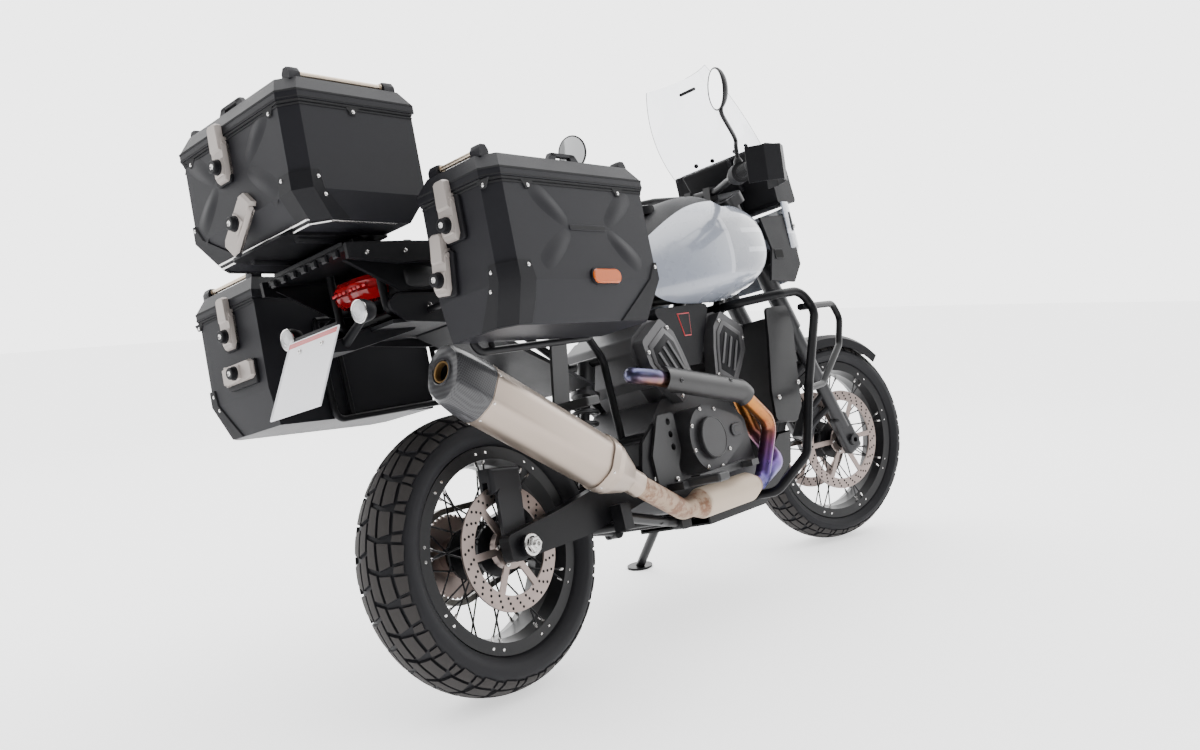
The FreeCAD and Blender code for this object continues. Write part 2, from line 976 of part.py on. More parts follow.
def fork():
    pieces = [rod(on_stem(lower_clamp_at), on_stem(upper_clamp_at), stem_radius)]
    for side in (-1, 1):
        pieces.append(rod(on_fork(fork_tube_low, side), on_fork(fork_tube_high, side), fork_tube_radius))
        pieces.append(rod(on_fork(fork_foot_high / 2, side), on_fork(fork_tube_low + overrun, side), slider_radius))
        pieces.append(fork_foot(side))
    pieces.append(clamp_plate(lower_clamp_at, stem_radius))
    pieces.append(clamp_plate(upper_clamp_at, stem_radius))
    return fused(pieces)


def front_axle():
    shaft = disc_y(axle_radius, -front_axle_half, front_axle_half)
    collars = []
    inner = fork_half_spacing - fork_foot_width / 2
    outer = fork_half_spacing + fork_foot_width / 2
    for side in (-1, 1):
        seat = side * (front_hub_half + seat_gap)
        foot = side * (inner - seat_gap)
        collars.append(disc_y(axle_collar_radius, min(seat, foot), max(seat, foot)))
        face = side * (outer + seat_gap)
        end = side * (front_axle_half + axle_nut_length / 2)
        collars.append(disc_y(axle_nut_radius * 0.8, min(face, end), max(face, end)))
    bore = disc_y(axle_bore_radius, -front_axle_half - overrun, front_axle_half + overrun)
    return moved(fused([shaft] + collars).cut(bore), front_axle_place)


def front_calipers():
    shape = caliper(
        front_caliper_length, front_caliper_height, front_caliper_width, front_disc_radius, -front_disc_offset)
    shape = moved(turned_about(shape, Vector(0, 0, 0), leftward, -front_caliper_angle), front_axle_place)
    leg = rod(on_fork(0, -1), on_fork(fork_tube_low, -1), slider_radius + seat_gap)
    turn = Rotation(leftward, -front_caliper_angle)
    reach = front_disc_radius + front_caliper_height * 0.3
    lugs = []
    for share in (-0.35, 0.35):
        place = Vector(front_caliper_length * share, -front_disc_offset - front_caliper_width * 0.36, reach)
        along = (place.z ** 2 + place.x ** 2) ** 0.5 * 0.9 + front_caliper_length * share * 0.6
        lugs.append(rod(on_fork(along, -1), front_axle_place + turn.multVec(place), front_caliper_width / 5))
    right = fused([shape] + lugs).cut(leg)
    slot = disc_y(
        front_disc_radius + caliper_slot / 2, -front_disc_offset - caliper_slot / 2,
        -front_disc_offset + caliper_slot / 2, front_axle_place.x, front_axle_place.z)
    return compound(both_sides(right.cut(slot)))


def front_fender():
    inner = front_tyre_radius + fender_clearance
    outer = inner + fender_thickness
    edge = inner - fender_side
    half = fender_half
    inner_half = half - fender_thickness
    points = [
        (edge, half), (outer - fender_side / 3, half), (outer, half - fender_side / 2),
        (outer, -half + fender_side / 2), (outer - fender_side / 3, -half), (edge, -half),
        (edge, -inner_half), (inner - fender_side / 3, -inner_half), (inner, -inner_half + fender_side / 2),
        (inner, inner_half - fender_side / 2), (inner - fender_side / 3, inner_half), (edge, inner_half),
    ]
    face = polygon_face([Vector(r, y, 0) for r, y in points])
    face.rotate(Vector(0, 0, 0), leftward, -90 + fender_ahead)
    sweep = fender_ahead + fender_behind
    shell = face.revolve(Vector(0, 0, 0), leftward, -sweep)
    shell = moved(shell, front_axle_place)
    stays = []
    for side in (-1, 1):
        leg = on_fork(front_tyre_radius, side)
        inward = side * (fork_half_spacing - slider_radius * 0.5)
        outward = side * (half - fender_thickness / 2)
        stay = block(
            leg.x - fork_foot_length / 2, leg.x + fork_foot_length / 2,
            min(inward, outward), max(inward, outward), leg.z - fender_side / 2, leg.z + fender_side / 2)
        hole = rod(on_fork(0, side), on_fork(fork_tube_low, side), slider_radius + seat_gap)
        stays.append(stay.cut(hole))
    return fused([shell] + stays)


# Handlebar and what it carries

def bar_places(side):
    """Places along one half of the handlebar, from its middle to its end."""
    clamp = on_stem(upper_clamp_at) + forward * (fork_offset / 2) + upward * bar_clamp_height
    end = clamp + Vector(-bar_drop_back, side * bar_half, bar_rise * 0.8)
    bend = clamp + Vector(-bar_drop_back * 0.2, side * bar_half * 0.42, bar_rise)
    start = clamp + leftward * (side * bar_clamp_half * 1.6)
    return clamp, start, bend, end


def handlebar():
    clamp, right_start, right_bend, right_end = bar_places(-1)
    left_start, left_bend, left_end = bar_places(1)[1:]
    bar = tube([right_end, right_bend, right_start, left_start, left_bend, left_end], bar_radius, bar_clamp_half)
    risers = []
    top = on_stem(upper_clamp_at).z
    for side in (-1, 1):
        centre = side * bar_clamp_half
        riser = block(
            clamp.x - bar_clamp_width / 2, clamp.x + bar_clamp_width / 2,
            centre - bar_clamp_width / 2, centre + bar_clamp_width / 2,
            top + clamp_thickness * 0.4, clamp.z + bar_radius * 1.5)
        risers.append(riser)
    plate = clamp_plate(upper_clamp_at, stem_radius)
    return fused([bar] + risers).cut(plate)


def along_bar(side, distance):
    """Place on the grip part of the bar, measured inward from its end."""
    bend, end = bar_places(side)[2:]
    return end + (bend - end).normalize() * distance


def beside_bar(side, inward, ahead):
    """Place in the level plane of a grip: inward from its end, and ahead of it."""
    bend, end = bar_places(side)[2:]
    along = (bend - end).normalize()
    front = Vector(along.y * -side, along.x * side, 0).normalize()
    return end + along * inward + front * ahead


def bar_and_levers():
    return clear_of(fused([handlebar(), levers()]), fork)


def grips():
    shapes = []
    for side in (-1, 1):
        grip = rod(along_bar(side, 0), along_bar(side, grip_length), grip_radius)
        switch = rod(along_bar(side, grip_length + seat_gap), along_bar(side, grip_length + switch_length), switch_height / 2)
        core = rod(along_bar(side, -overrun), along_bar(side, grip_length + switch_length + overrun), bar_radius + seat_gap)
        shapes += [grip.cut(core), switch.cut(core)]
    return compound(shapes)


def levers():
    shapes = []
    for side in (-1, 1):
        start = grip_length + switch_length + seat_gap * 2
        end = start + switch_height / 2
        middle = (start + end) / 2
        perch = rod(along_bar(side, start), along_bar(side, end), switch_height * 0.42)
        core = rod(along_bar(side, 0), along_bar(side, end + switch_length), bar_radius + seat_gap)
        lever = tube([
            beside_bar(side, middle, bar_radius * 1.8), beside_bar(side, middle, lever_ahead * 0.8),
            beside_bar(side, middle - lever_thickness * 3, lever_ahead),
            beside_bar(side, middle - lever_length, lever_ahead)], lever_thickness * 0.6, lever_thickness)
        shapes.append(fused([perch, lever]).cut(core))
    return compound(shapes)


def handguards():
    """Shells in front of the grips, held at the ends of the bar and by an inner arm."""
    shapes = []
    t = handguard_thickness
    for side in (-1, 1):
        outer = [
            (-overrun * 1.6, -grip_radius), (-overrun * 3, handguard_depth * 0.3),
            (-overrun, handguard_depth * 0.78), (overrun * 4, handguard_depth),
            (handguard_length * 0.7, handguard_depth * 1.02), (handguard_length, handguard_depth * 0.86)]
        inner = [
            (handguard_length, handguard_depth * 0.86 - t), (handguard_length * 0.7, handguard_depth * 1.02 - t),
            (overrun * 4, handguard_depth - t), (-overrun + t, handguard_depth * 0.78 - t),
            (-overrun * 3 + t, handguard_depth * 0.3), (-overrun * 1.6 + t, -grip_radius)]
        low = upward * (-handguard_height / 2)
        places = [beside_bar(side, a, b) + low for a, b in outer + inner]
        level = places[0].z
        places = [Vector(place.x, place.y, level) for place in places]
        guard = Part.Face(rounded_wire(places, t / 3)).extrude(upward * handguard_height)
        mount = rod(along_bar(side, -seat_gap), along_bar(side, -overrun * 1.6), grip_radius * 0.8)
        arm_at = grip_length + switch_length + switch_height
        arm = rod(
            beside_bar(side, arm_at, bar_radius + seat_gap), beside_bar(side, arm_at * 0.85, handguard_depth * 0.94),
            bar_radius * 0.7)
        shapes.append(fused([guard, mount, arm]))
    return clear_of(compound(shapes), bar_and_levers)


def mirrors():
    shapes = []
    for side in (-1, 1):
        base = along_bar(side, grip_length + switch_length * 0.5) + upward * (switch_height / 2 + seat_gap)
        centre = Vector(mirror_x, side * mirror_half, mirror_z)
        knee = Vector(base.x + overrun, base.y + side * overrun, base.z + (mirror_z - base.z) * 0.35)
        low = centre - upward * (mirror_radius * mirror_height_share * 0.9) - leftward * (side * mirror_radius * 0.4)
        stem = tube([base, knee, low], mirror_stem_radius, overrun)
        bowl = Part.makeSphere(mirror_radius)
        bowl = bowl.cut(block(-mirror_radius * 2, 0, -mirror_radius, mirror_radius, -mirror_radius, mirror_radius))
        scale = FreeCAD.Matrix()
        scale.scale(mirror_depth / mirror_radius, 1, mirror_height_share)
        bowl = bowl.transformGeometry(scale)
        bowl = turned_about(bowl, Vector(0, 0, 0), upward, -side * 14)
        bowl = moved(bowl, centre)
        shapes.append(fused([stem, bowl]))
    return clear_of(compound(shapes), grips)


# Frame

def head_tube():
    low = lower_clamp_at + clamp_thickness / 2 + head_tube_gap
    high = upper_clamp_at - clamp_thickness / 2 - head_tube_gap
    return rod(on_stem(low), on_stem(high), head_tube_radius), rod(on_stem(low - overrun), on_stem(high + overrun), stem_radius + bearing_gap)


def front_frame():
    head, bore = head_tube()
    head_low = on_stem(lower_clamp_at + clamp_thickness * 1.4)
    head_high = on_stem(upper_clamp_at - clamp_thickness * 2)
    tubes = []
    for side in (-1, 1):
        mount = Vector(engine_mount_x, side * frame_half, engine_mount_z)
        spread = Vector(head_low.x - head_tube_radius * 2.4, side * frame_half * 0.6, head_low.z - head_tube_radius)
        tubes.append(tube([head_low, spread, mount], frame_tube_radius, frame_tube_radius * 2))
        rear = Vector(backbone_rear_x, side * frame_half, backbone_z)
        shoulder = Vector(tank_notch_x + frame_tube_radius * 1.5, side * frame_half * 0.7, backbone_z)
        tubes.append(tube([head_high, shoulder, rear], frame_tube_radius, frame_tube_radius * 2))
    reach = frame_half + frame_tube_radius
    tie = disc_y(frame_tube_radius, -reach, reach, engine_mount_x, engine_mount_z)
    rear_tie = rod(Vector(backbone_rear_x, -frame_half, backbone_z), Vector(backbone_rear_x, frame_half, backbone_z), frame_tube_radius)
    return fused([head] + tubes + [tie, rear_tie]).cut(bore)


def mid_frame():
    """Side plates behind the engine that carry the swingarm pivot."""
    inner = swingarm_inner + swingarm_thickness + seat_gap
    outer = inner + mid_frame_thickness
    back = swingarm_pivot_x - swingarm_height * 0.45
    front = crankcase_back + mid_frame_thickness * 6
    low = swingarm_pivot_z - swingarm_height * 0.8
    high = swingarm_pivot_z + swingarm_height * 1.5
    shares = [(0, 0.25), (0.25, 0), (0.6, 0.05), (0.62, 0.66), (1, 0.72), (1, 0.9), (0.55, 1), (0.15, 0.8), (0, 0.5)]
    plate = side_plate(outline(back, front, low, high, shares), inner, outer, mid_frame_thickness)
    boss_low = low + (high - low) * 0.75
    boss = block(
        crankcase_back + mid_frame_thickness * 2, front - mid_frame_thickness, crankcase_half + seat_gap,
        outer - overrun / 4, boss_low, boss_low + mid_frame_thickness * 2)
    cross = disc_y(mid_frame_thickness, -inner - overrun / 4, inner + overrun / 4, tail_strut_x, tail_strut_z)
    plates = both_sides(plate) + both_sides(boss)
    shape = fused(plates + [cross, pivot_shaft()])
    return shape.cut(made(crankcase))


def tail_frame():
    rails = []
    for side in (-1, 1):
        front = Vector(tail_front_x, side * tail_half, tail_front_z)
        end = Vector(tail_end_x, side * tail_half * 0.8, tail_end_z)
        middle = Vector((tail_front_x + tail_end_x) / 2, side * tail_half, tail_front_z)
        rails.append(tube([front, middle, end], tail_tube_radius, tail_half))
        strut_low = Vector(tail_strut_x, side * tail_strut_half, tail_strut_z)
        strut_bend = Vector(shock_top_x, side * tail_strut_half, shock_top_z)
        strut_high = Vector(shock_low_x, side * tail_half, tail_front_z)
        rails.append(tube([strut_low, strut_bend, strut_high], tail_strut_radius, tail_half / 2))
    ties = []
    for x, z, half in (
            (tail_end_x, tail_end_z, tail_half * 0.8), (tail_front_x, tail_front_z, tail_half),
            (shock_top_x, shock_top_z, tail_strut_half)):
        ties.append(disc_y(tail_tube_radius, -half, half, x, z))
    return fused(rails + ties).cut(made(mid_frame))


# Engine

def crankcase():
    shares = [
        (0, 0.25), (0.08, 0.05), (0.3, 0), (0.86, 0), (1, 0.18), (0.98, 0.62), (0.8, 0.86), (0.5, 1), (0.2, 0.92), (0.02, 0.7)]
    points = outline(crankcase_back, crankcase_front, crankcase_low, crankcase_high, shares)
    case = side_plate(points, -crankcase_half, crankcase_half, crankcase_half / 5)
    room = hull_of_circles(
        0, rear_tyre_radius, sprocket_radius + chain_gap + chain_height + chain_room, front_sprocket_x,
        front_sprocket_z, front_sprocket_radius + chain_height + chain_room,
        sprocket_offset - chain_width / 2 - chain_room, crankcase_half + overrun)
    hub = disc_y(
        front_sprocket_radius - seat_gap, sprocket_offset - chain_width, crankcase_half, front_sprocket_x,
        front_sprocket_z)
    back = block(
        0, crankcase_back, 0, crankcase_half * 2, 0, wheelbase)
    return case.cut(room).fuse(hub.cut(back)).removeSplitter()


def bank_place(angle):
    return Placement(Vector(crank_x, 0, crank_z), Rotation(leftward, angle))


def cylinder_bank(angle):
    """Barrel and head of one cylinder, drawn upright over the crank and then tilted."""
    barrel = block(-barrel_length / 2, barrel_length / 2, -barrel_half, barrel_half, barrel_from, barrel_to)
    shares = [(0.08, 0), (0.92, 0), (1, 0.3), (0.94, 0.82), (0.74, 1), (0.26, 1), (0.06, 0.82), (0, 0.3)]
    points = outline(-head_length / 2, head_length / 2, barrel_to - overrun, head_to, shares)
    head = side_plate(points, -head_half, head_half, head_length / 12)
    shape = fused([barrel, head])
    shape.Placement = bank_place(angle)
    return shape


def bank_cover(angle):
    """Cast cover on each flank of a cylinder."""
    shares = [(0.22, 0), (0.8, 0), (0.94, 0.45), (1, 0.72), (0.86, 1), (0.14, 1), (0, 0.72), (0.06, 0.42)]
    points = outline(-head_length / 2, head_length / 2, barrel_from + overrun * 4, head_to - overrun, shares)
    points = [(x * head_cover_share, z) for x, z in points]
    lower = head_half + seat_gap
    plate = side_plate(points, lower, lower + head_cover_thickness, head_length / 14)
    plate.Placement = bank_place(angle)
    return plate


def cylinders():
    case = crankcase()
    banks = [cylinder_bank(-bank_angle), cylinder_bank(bank_angle)]
    return compound([bank.cut(case) for bank in banks])


def cylinder_covers():
    shapes = []
    for angle in (-bank_angle, bank_angle):
        shapes += both_sides(bank_cover(angle))
    return compound(shapes)


def hull_of_circles(first_x, first_z, first_radius, second_x, second_z, second_radius, low_y, high_y):
    """Plate around two circles and their common tangents."""
    first = Vector(first_x, low_y, first_z)
    second = Vector(second_x, low_y, second_z)
    along = second - first
    length = along.Length
    along.normalize()
    across = Vector(-along.z, 0, along.x)
    tilt = math.asin((first_radius - second_radius) / length)
    top = across * math.cos(tilt) + along * math.sin(tilt)
    bottom = across * -math.cos(tilt) + along * math.sin(tilt)
    edges = [
        Part.LineSegment(first + top * first_radius, second + top * second_radius),
        Part.Arc(second + top * second_radius, second + along * second_radius, second + bottom * second_radius),
        Part.LineSegment(second + bottom * second_radius, first + bottom * first_radius),
        Part.Arc(first + bottom * first_radius, first - along * first_radius, first + top * first_radius),
    ]
    wire = Part.Wire([edge.toShape() for edge in edges])
    return Part.Face(wire).extrude(leftward * (high_y - low_y))


def clutch_cover():
    inner = -crankcase_half
    outer = inner - side_cover_depth
    lobe_x = clutch_centre_x + clutch_lobe_ahead
    lobe_z = clutch_centre_z + clutch_lobe_up
    base = hull_of_circles(
        clutch_centre_x, clutch_centre_z, clutch_radius, lobe_x, lobe_z, clutch_lobe_radius, outer, inner)
    derby = disc_y(derby_radius, outer - derby_depth, outer, clutch_centre_x, clutch_centre_z)
    return fused([base, derby])


def left_cover():
    inner = crankcase_half
    outer = inner + side_cover_depth
    return hull_of_circles(
        front_sprocket_x + overrun * 6, front_sprocket_z, sprocket_cover_radius,
        crank_x - overrun * 2, crank_z, alternator_radius, inner, outer)


def engine_side_covers():
    return compound([clutch_cover(), left_cover()])


def intake_cover():
    """Dark cover that closes the valley between the cylinders on both flanks."""
    top, bottom = intake_top_length / 2, intake_bottom_length / 2
    points = [(crank_x - bottom, intake_low), (crank_x + bottom, intake_low),
              (crank_x + top, intake_high), (crank_x - top, intake_high)]
    body = side_plate(points, -intake_half, intake_half, intake_bottom_length / 5)
    for angle in (-bank_angle, bank_angle):
        body = body.cut(cylinder_bank(angle))
        body = body.cut(bank_cover(angle)).cut(mirrored(bank_cover(angle)))
    return body


# Radiator and shrouds

def radiator():
    body = block(0, radiator_depth, -radiator_half, radiator_half, 0, radiator_high - radiator_low)
    place = Placement(Vector(radiator_x, 0, radiator_low), Rotation(leftward, radiator_slant))
    body.Placement = place
    pieces = [body]
    for side in (-1, 1):
        y = leftward * (side * frame_half * 0.6)
        top = place.multVec(Vector(radiator_depth / 2, 0, radiator_high - radiator_low - overrun)) + y
        pieces.append(rod(Vector(engine_mount_x, 0, engine_mount_z) + y, top, radiator_stay_radius))
    return clear_of(fused(pieces), front_frame, cylinders)


def radiator_shrouds():
    shares = [(0, 0.05), (0.5, 0), (0.72, 0.12), (0.86, 0.5), (1, 0.8), (0.95, 1), (0.4, 1), (0.3, 0.75), (0.05, 0.3)]
    points = outline(shroud_back, shroud_front, shroud_low, shroud_high, shares)
    plate = side_plate(points, shroud_half - shroud_thickness, shroud_half, shroud_thickness * 2)
    web = block(
        radiator_x + radiator_depth, radiator_x + radiator_depth * 1.4, radiator_half + seat_gap,
        shroud_half - shroud_thickness / 2, (shroud_low + shroud_high) / 2, shroud_high - overrun)
    return compound(both_sides(fused([plate, web])))


# Exhaust

def header_route():
    low = Vector(header_back, 0, header_low)
    high = Vector(header_front, -header_half, header_high)
    shares = [(0.25, 0.43, 1), (0, 0.78, 1), (0.08, 0.95, 0.95), (0.74, 1, 0.72), (1, 0.94, 0.42), (0.88, 0.81, 0)]
    return between(low, high, shares)


def headers():
    rear_points = header_route()
    join = Vector(catalyst_front + header_radius, -catalyst_half, catalyst_z)
    rear = tube(rear_points + [join], header_radius, header_radius * 2.2)
    port = Vector(crank_x + head_length * 1.18, -header_radius, crankcase_high + header_radius * 1.8)
    front_points = [
        port, port + Vector(header_radius * 2.8, -header_radius, -header_radius),
        Vector(port.x + header_radius * 2.2, -catalyst_half * 0.55, skid_high + header_radius),
        Vector(crankcase_front + header_radius * 0.8, -catalyst_half, catalyst_z + header_radius * 2),
        join + forward * header_radius]
    front = tube(front_points, header_radius, header_radius * 2.2)
    return clear_of(fused([rear, front]), cylinders, crankcase, cylinder_covers)


def catalyst():
    start = Vector(catalyst_front + header_radius, -catalyst_half, catalyst_z)
    back = Vector(catalyst_back, -catalyst_half, catalyst_z)
    cone = Part.makeCone(header_radius * 1.2, catalyst_radius, header_radius * 2, start, forward * -1)
    can = rod(start - forward * (header_radius * 2), back, catalyst_radius)
    tail = Part.makeCone(catalyst_radius, link_radius, header_radius * 2, back, forward * -1)
    axis = muffler_axis()
    inlet = Vector(muffler_front_x, -muffler_half, muffler_front_z) - axis * (link_radius * 2.6)
    outlet = back - forward * (header_radius * 1.9)
    knee = outlet - forward * link_radius * 1.6
    link = tube([outlet, knee, inlet - axis * link_radius * 1.4, inlet], link_radius, link_radius * 1.4)
    return fused([cone, can, tail, link]).cut(headers())


def muffler_axis():
    tip = Vector(muffler_tip_x, -muffler_half, muffler_tip_z)
    start = Vector(muffler_front_x, -muffler_half, muffler_front_z)
    return (tip - start).normalize()


def muffler_section(distance, share):
    """Rounded six-sided section of the silencer at a distance along it."""
    half_height = muffler_height / 2 * share
    half_width = muffler_width / 2 * share
    points = [
        Vector(half_height, half_width * 0.35, distance), Vector(half_height * 0.5, half_width, distance),
        Vector(-half_height * 0.5, half_width, distance), Vector(-half_height, half_width * 0.35, distance),
        Vector(-half_height, -half_width * 0.35, distance), Vector(-half_height * 0.5, -half_width, distance),
        Vector(half_height * 0.5, -half_width, distance), Vector(half_height, -half_width * 0.35, distance)]
    return rounded_wire(points, half_width * 0.4)


def muffler_place():
    start = Vector(muffler_front_x, -muffler_half, muffler_front_z)
    axis = muffler_axis()
    across = leftward
    down = across.cross(axis)
    matrix = FreeCAD.Matrix(
        down.x, across.x, axis.x, start.x, down.y, across.y, axis.y, start.y, down.z, across.z, axis.z, start.z)
    return Placement(matrix)


def muffler_length():
    return (Vector(muffler_tip_x, 0, muffler_tip_z) - Vector(muffler_front_x, 0, muffler_front_z)).Length


def muffler():
    length = muffler_length()
    neck = length * muffler_neck_share
    cap = length * (1 - muffler_cap_share)
    can = Part.makeLoft([muffler_section(neck, 0.96), muffler_section(cap, 1)], True, True)
    funnel = Part.makeLoft([muffler_section(-neck, 0.55), muffler_section(neck, 0.96)], True, True)
    inlet = Part.makeCylinder(link_radius * 1.15, neck * 2, Vector(0, 0, -neck * 2), upward)
    shape = fused([can, funnel, inlet])
    shape.Placement = muffler_place()
    return shape.cut(catalyst())


def muffler_cap():
    length = muffler_length()
    cap = length * (1 - muffler_cap_share) + seat_gap
    body = Part.makeLoft([muffler_section(cap, 1.02), muffler_section(length, 0.86)], True, True)
    hole = Part.makeCylinder(outlet_radius, length * muffler_cap_share / 2, Vector(0, 0, length), upward * -1)
    hole = moved(hole, upward * overrun * 0.01)
    shape = body.cut(hole)
    shape.Placement = muffler_place()
    return shape


def header_shield():
    """Dark guard outside the rear cylinder's pipe."""
    points = header_route()[2:5]
    start = points[0] + (points[1] - points[0]) * 0.08
    end = points[1] + (points[2] - points[1]) * 0.15
    outer = tube([start, points[1], end], shield_radius, shield_radius)
    inner = tube([start - forward * overrun, points[1], end + forward * overrun], shield_radius - shield_thickness, shield_radius)
    keep_y = -header_half + header_radius * 0.2
    keep = block(header_back - overrun, header_front + overrun, -header_half * 2, keep_y, header_low, header_high * 1.2)
    pieces = [outer.cut(inner).common(keep)]
    along = (points[1] - points[0]).normalize()
    for share in (0.25, 0.8):
        middle = points[0] + (points[1] - points[0]) * share
        band = rod(middle - along * (shield_band / 2), middle + along * (shield_band / 2), shield_radius - shield_thickness / 2)
        pieces.append(band.cut(rod(points[0], points[1], header_radius + seat_gap)))
    return fused(pieces)


# Fuel tank

tank_station_shares = [
    (0, 0.36, 0.1, 0.5), (0.14, 0.52, 0.03, 0.6), (0.36, 0.82, 0, 0.76), (0.6, 0.97, 0, 0.94),
    (0.8, 1, 0.03, 1), (0.93, 0.97, 0.12, 0.97), (1, 0.86, 0.3, 0.86)]
tank_section_shares = [
    (0, 0), (0.72, 0.02), (0.96, 0.14), (1, 0.4), (0.9, 0.64), (0.66, 0.82), (0.34, 0.96), (0, 1)]


def tank_block():
    sections = []
    for along, width, low, high in tank_station_shares:
        x = tank_back + (tank_front - tank_back) * along
        half = tank_half * width
        bottom = tank_low + (tank_high - tank_low) * low
        top = tank_low + (tank_high - tank_low) * high
        right = [Vector(x, -half * a, bottom + (top - bottom) * b) for a, b in tank_section_shares]
        left = [Vector(x, half * a, bottom + (top - bottom) * b) for a, b in reversed(tank_section_shares[1:-1])]
        sections.append(smooth_section(right + left))
    full = Part.makeLoft(sections, True, False)
    tunnel = block(
        tank_back - overrun, tank_front + overrun, -tank_tunnel_half, tank_tunnel_half,
        tank_low - overrun, tank_tunnel_high)
    notch = block(
        tank_notch_x, tank_front + overrun, -tank_notch_half, tank_notch_half, tank_low - overrun, tank_high + overrun)
    return full.cut(tunnel).cut(notch)


def tank_panel_tool():
    points = [
        (tank_back - overrun, -tank_panel_half * 0.7), (tank_front, -tank_panel_half * 1.2),
        (tank_front, tank_panel_half * 1.2), (tank_back - overrun, tank_panel_half * 0.7)]
    return flat_plate(points, tank_tunnel_high - overrun, tank_high + overrun, overrun)


def fuel_tank():
    return compound(tank_block().cut(tank_panel_tool()).Solids)


def tank_centre():
    centre = tank_block().common(tank_panel_tool())
    cap = Part.makeCylinder(filler_radius, filler_height + overrun, Vector(filler_x, 0, tank_cap_z() - overrun), upward)
    return fused([centre, cap])


def tank_cap_z():
    return tank_low + (tank_high - tank_low) * 0.87


# Seats

def seat_pad(back, front, low, high, half, front_share, rise):
    stations = [(0, 1, 0), (0.35, 1, 0), (0.7, 0.8, rise * 0.3), (1, front_share, rise)]
    sections = []
    for along, width, lift in stations:
        x = back + (front - back) * along
        w = half * width
        bottom, top = low + lift * 0.6, high + lift
        points = [
            Vector(x, -w * 0.9, bottom), Vector(x, w * 0.9, bottom), Vector(x, w, (bottom + top) / 2),
            Vector(x, w * 0.85, top), Vector(x, -w * 0.85, top), Vector(x, -w, (bottom + top) / 2)]
        sections.append(rounded_wire(points, (high - low) / 4))
    return Part.makeLoft(sections, True, False)


def rider_seat():
    tank = tank_block()
    shape = seat_pad(seat_back, seat_front, seat_low, seat_high, seat_half, 0.55, seat_high - seat_low)
    return shape.cut(tank)


def pillion_seat():
    return seat_pad(pillion_back, pillion_front, pillion_low, pillion_high, pillion_half, 0.92, 0)


def seats():
    return clear_of(compound([rider_seat(), pillion_seat()]), tail_frame, front_frame)


# Tail

def tail_fairing():
    shares = [(0, 0.75), (0.06, 0.3), (0.4, 0), (0.8, 0.02), (1, 0.2), (1, 0.55), (0.6, 0.6), (0.3, 0.9), (0.05, 1)]
    points = outline(tail_fairing_back, tail_fairing_front, tail_fairing_low, tail_fairing_high, shares)
    inner = tail_fairing_half - tail_fairing_thickness
    panels = both_sides(side_plate(points, inner, tail_fairing_half, tail_fairing_thickness * 2))
    floor = block(
        tail_fairing_back + overrun, tail_fairing_front * 0.5, -inner - overrun / 3, inner + overrun / 3,
        tail_fairing_low + overrun * 2, tail_fairing_low + overrun * 2 + tail_fairing_thickness)
    shape = fused(panels + [floor])
    return clear_of(shape, tail_frame, seats, case_carriers)


def tail_lamp():
    front = lamp_x + lamp_length
    points = [
        (lamp_x, -lamp_half * 0.55), (lamp_x, lamp_half * 0.55), (lamp_x + lamp_length * 0.5, lamp_half),
        (front, lamp_half), (front, -lamp_half), (lamp_x + lamp_length * 0.5, -lamp_half)]
    lamp = flat_plate(points, lamp_z - lamp_height / 2, lamp_z + lamp_height / 2, lamp_height / 8)
    return clear_of(lamp, tail_frame, seats, rack)


def rear_indicators():
    shapes = []
    for side in (-1, 1):
        centre = Vector(indicator_x, side * indicator_half, indicator_z)
        shapes.append(rod(centre, centre + forward * indicator_depth, indicator_radius))
        root = Vector(indicator_x + indicator_depth * 0.6, side * plate_width * 0.2, indicator_z - overrun * 4)
        arm = rod(root, centre + forward * (indicator_depth * 0.6), indicator_arm_radius)
        shapes[-1] = fused([shapes[-1], arm])
    return compound(shapes)


def plate_frame(low, high, half, back, front):
    """Slab in the plane of the number plate: distance down the plate, half width, depth."""
    slab = block(back, front, -half, half, -high, -low)
    slab.Placement = Placement(Vector(plate_top_x, 0, plate_top_z), Rotation(leftward, plate_slant))
    return slab


def number_plate():
    return plate_frame(0, plate_height, plate_width / 2, 0, plate_thickness)


def plate_holder():
    front = plate_thickness + seat_gap
    back = plate_frame(
        -overrun, plate_height - overrun, plate_width * 0.42, front, front + plate_holder_thickness)
    arm_low = plate_top_z - overrun * 4
    shares = [(0, 0), (0.3, 0), (1, 0.6), (1, 1), (0.6, 1), (0.1, 0.4), (0, 0.4)]
    points = outline(
        plate_top_x - overrun, tail_end_x + overrun * 6, arm_low, tail_end_z - tail_tube_radius - seat_gap, shares)
    arm = side_plate(points, -plate_width * 0.22, plate_width * 0.22, overrun)
    room = plate_frame(-overrun, plate_height, plate_width, -plate_height, front)
    return clear_of(fused([back, arm.cut(room)]), rear_indicators, tail_fairing)


# Rack and case carriers

def rack():
    """Plate under the top case on two bent tubes that rise from the tail."""
    under = -top_case_side - top_case_chamfer - seat_gap
    near, far = rack_inset, top_case_length - rack_inset / 2
    middle = top_case_width / 2
    points = [
        (middle - rack_half, near), (middle + rack_half, near), (middle + rack_half * 0.8, far),
        (middle - rack_half * 0.8, far)]
    plate = flat_plate(points, under - rack_thickness, under, rack_half / 6)
    plate = place_top(plate)
    back = plate.BoundBox.XMin
    front = plate.BoundBox.XMax
    low = plate.BoundBox.ZMin
    posts = []
    column = pillion_back - rack_tube_radius * 2
    for side in (-1, 1):
        y = side * (lamp_half + rack_tube_radius + seat_gap)
        rise = math.tan(math.radians(case_pitch))
        posts.append(tube([
            Vector(back + rack_inset, y, low + (front - back - rack_inset) * rise),
            Vector(column, y, low + (front - column) * rise), Vector(column, y, tail_end_z),
            Vector(tail_end_x + rack_tube_radius, y, tail_end_z)], rack_tube_radius, rack_tube_radius * 2))
    return clear_of(fused([plate] + posts), tail_frame, seats, top_case)


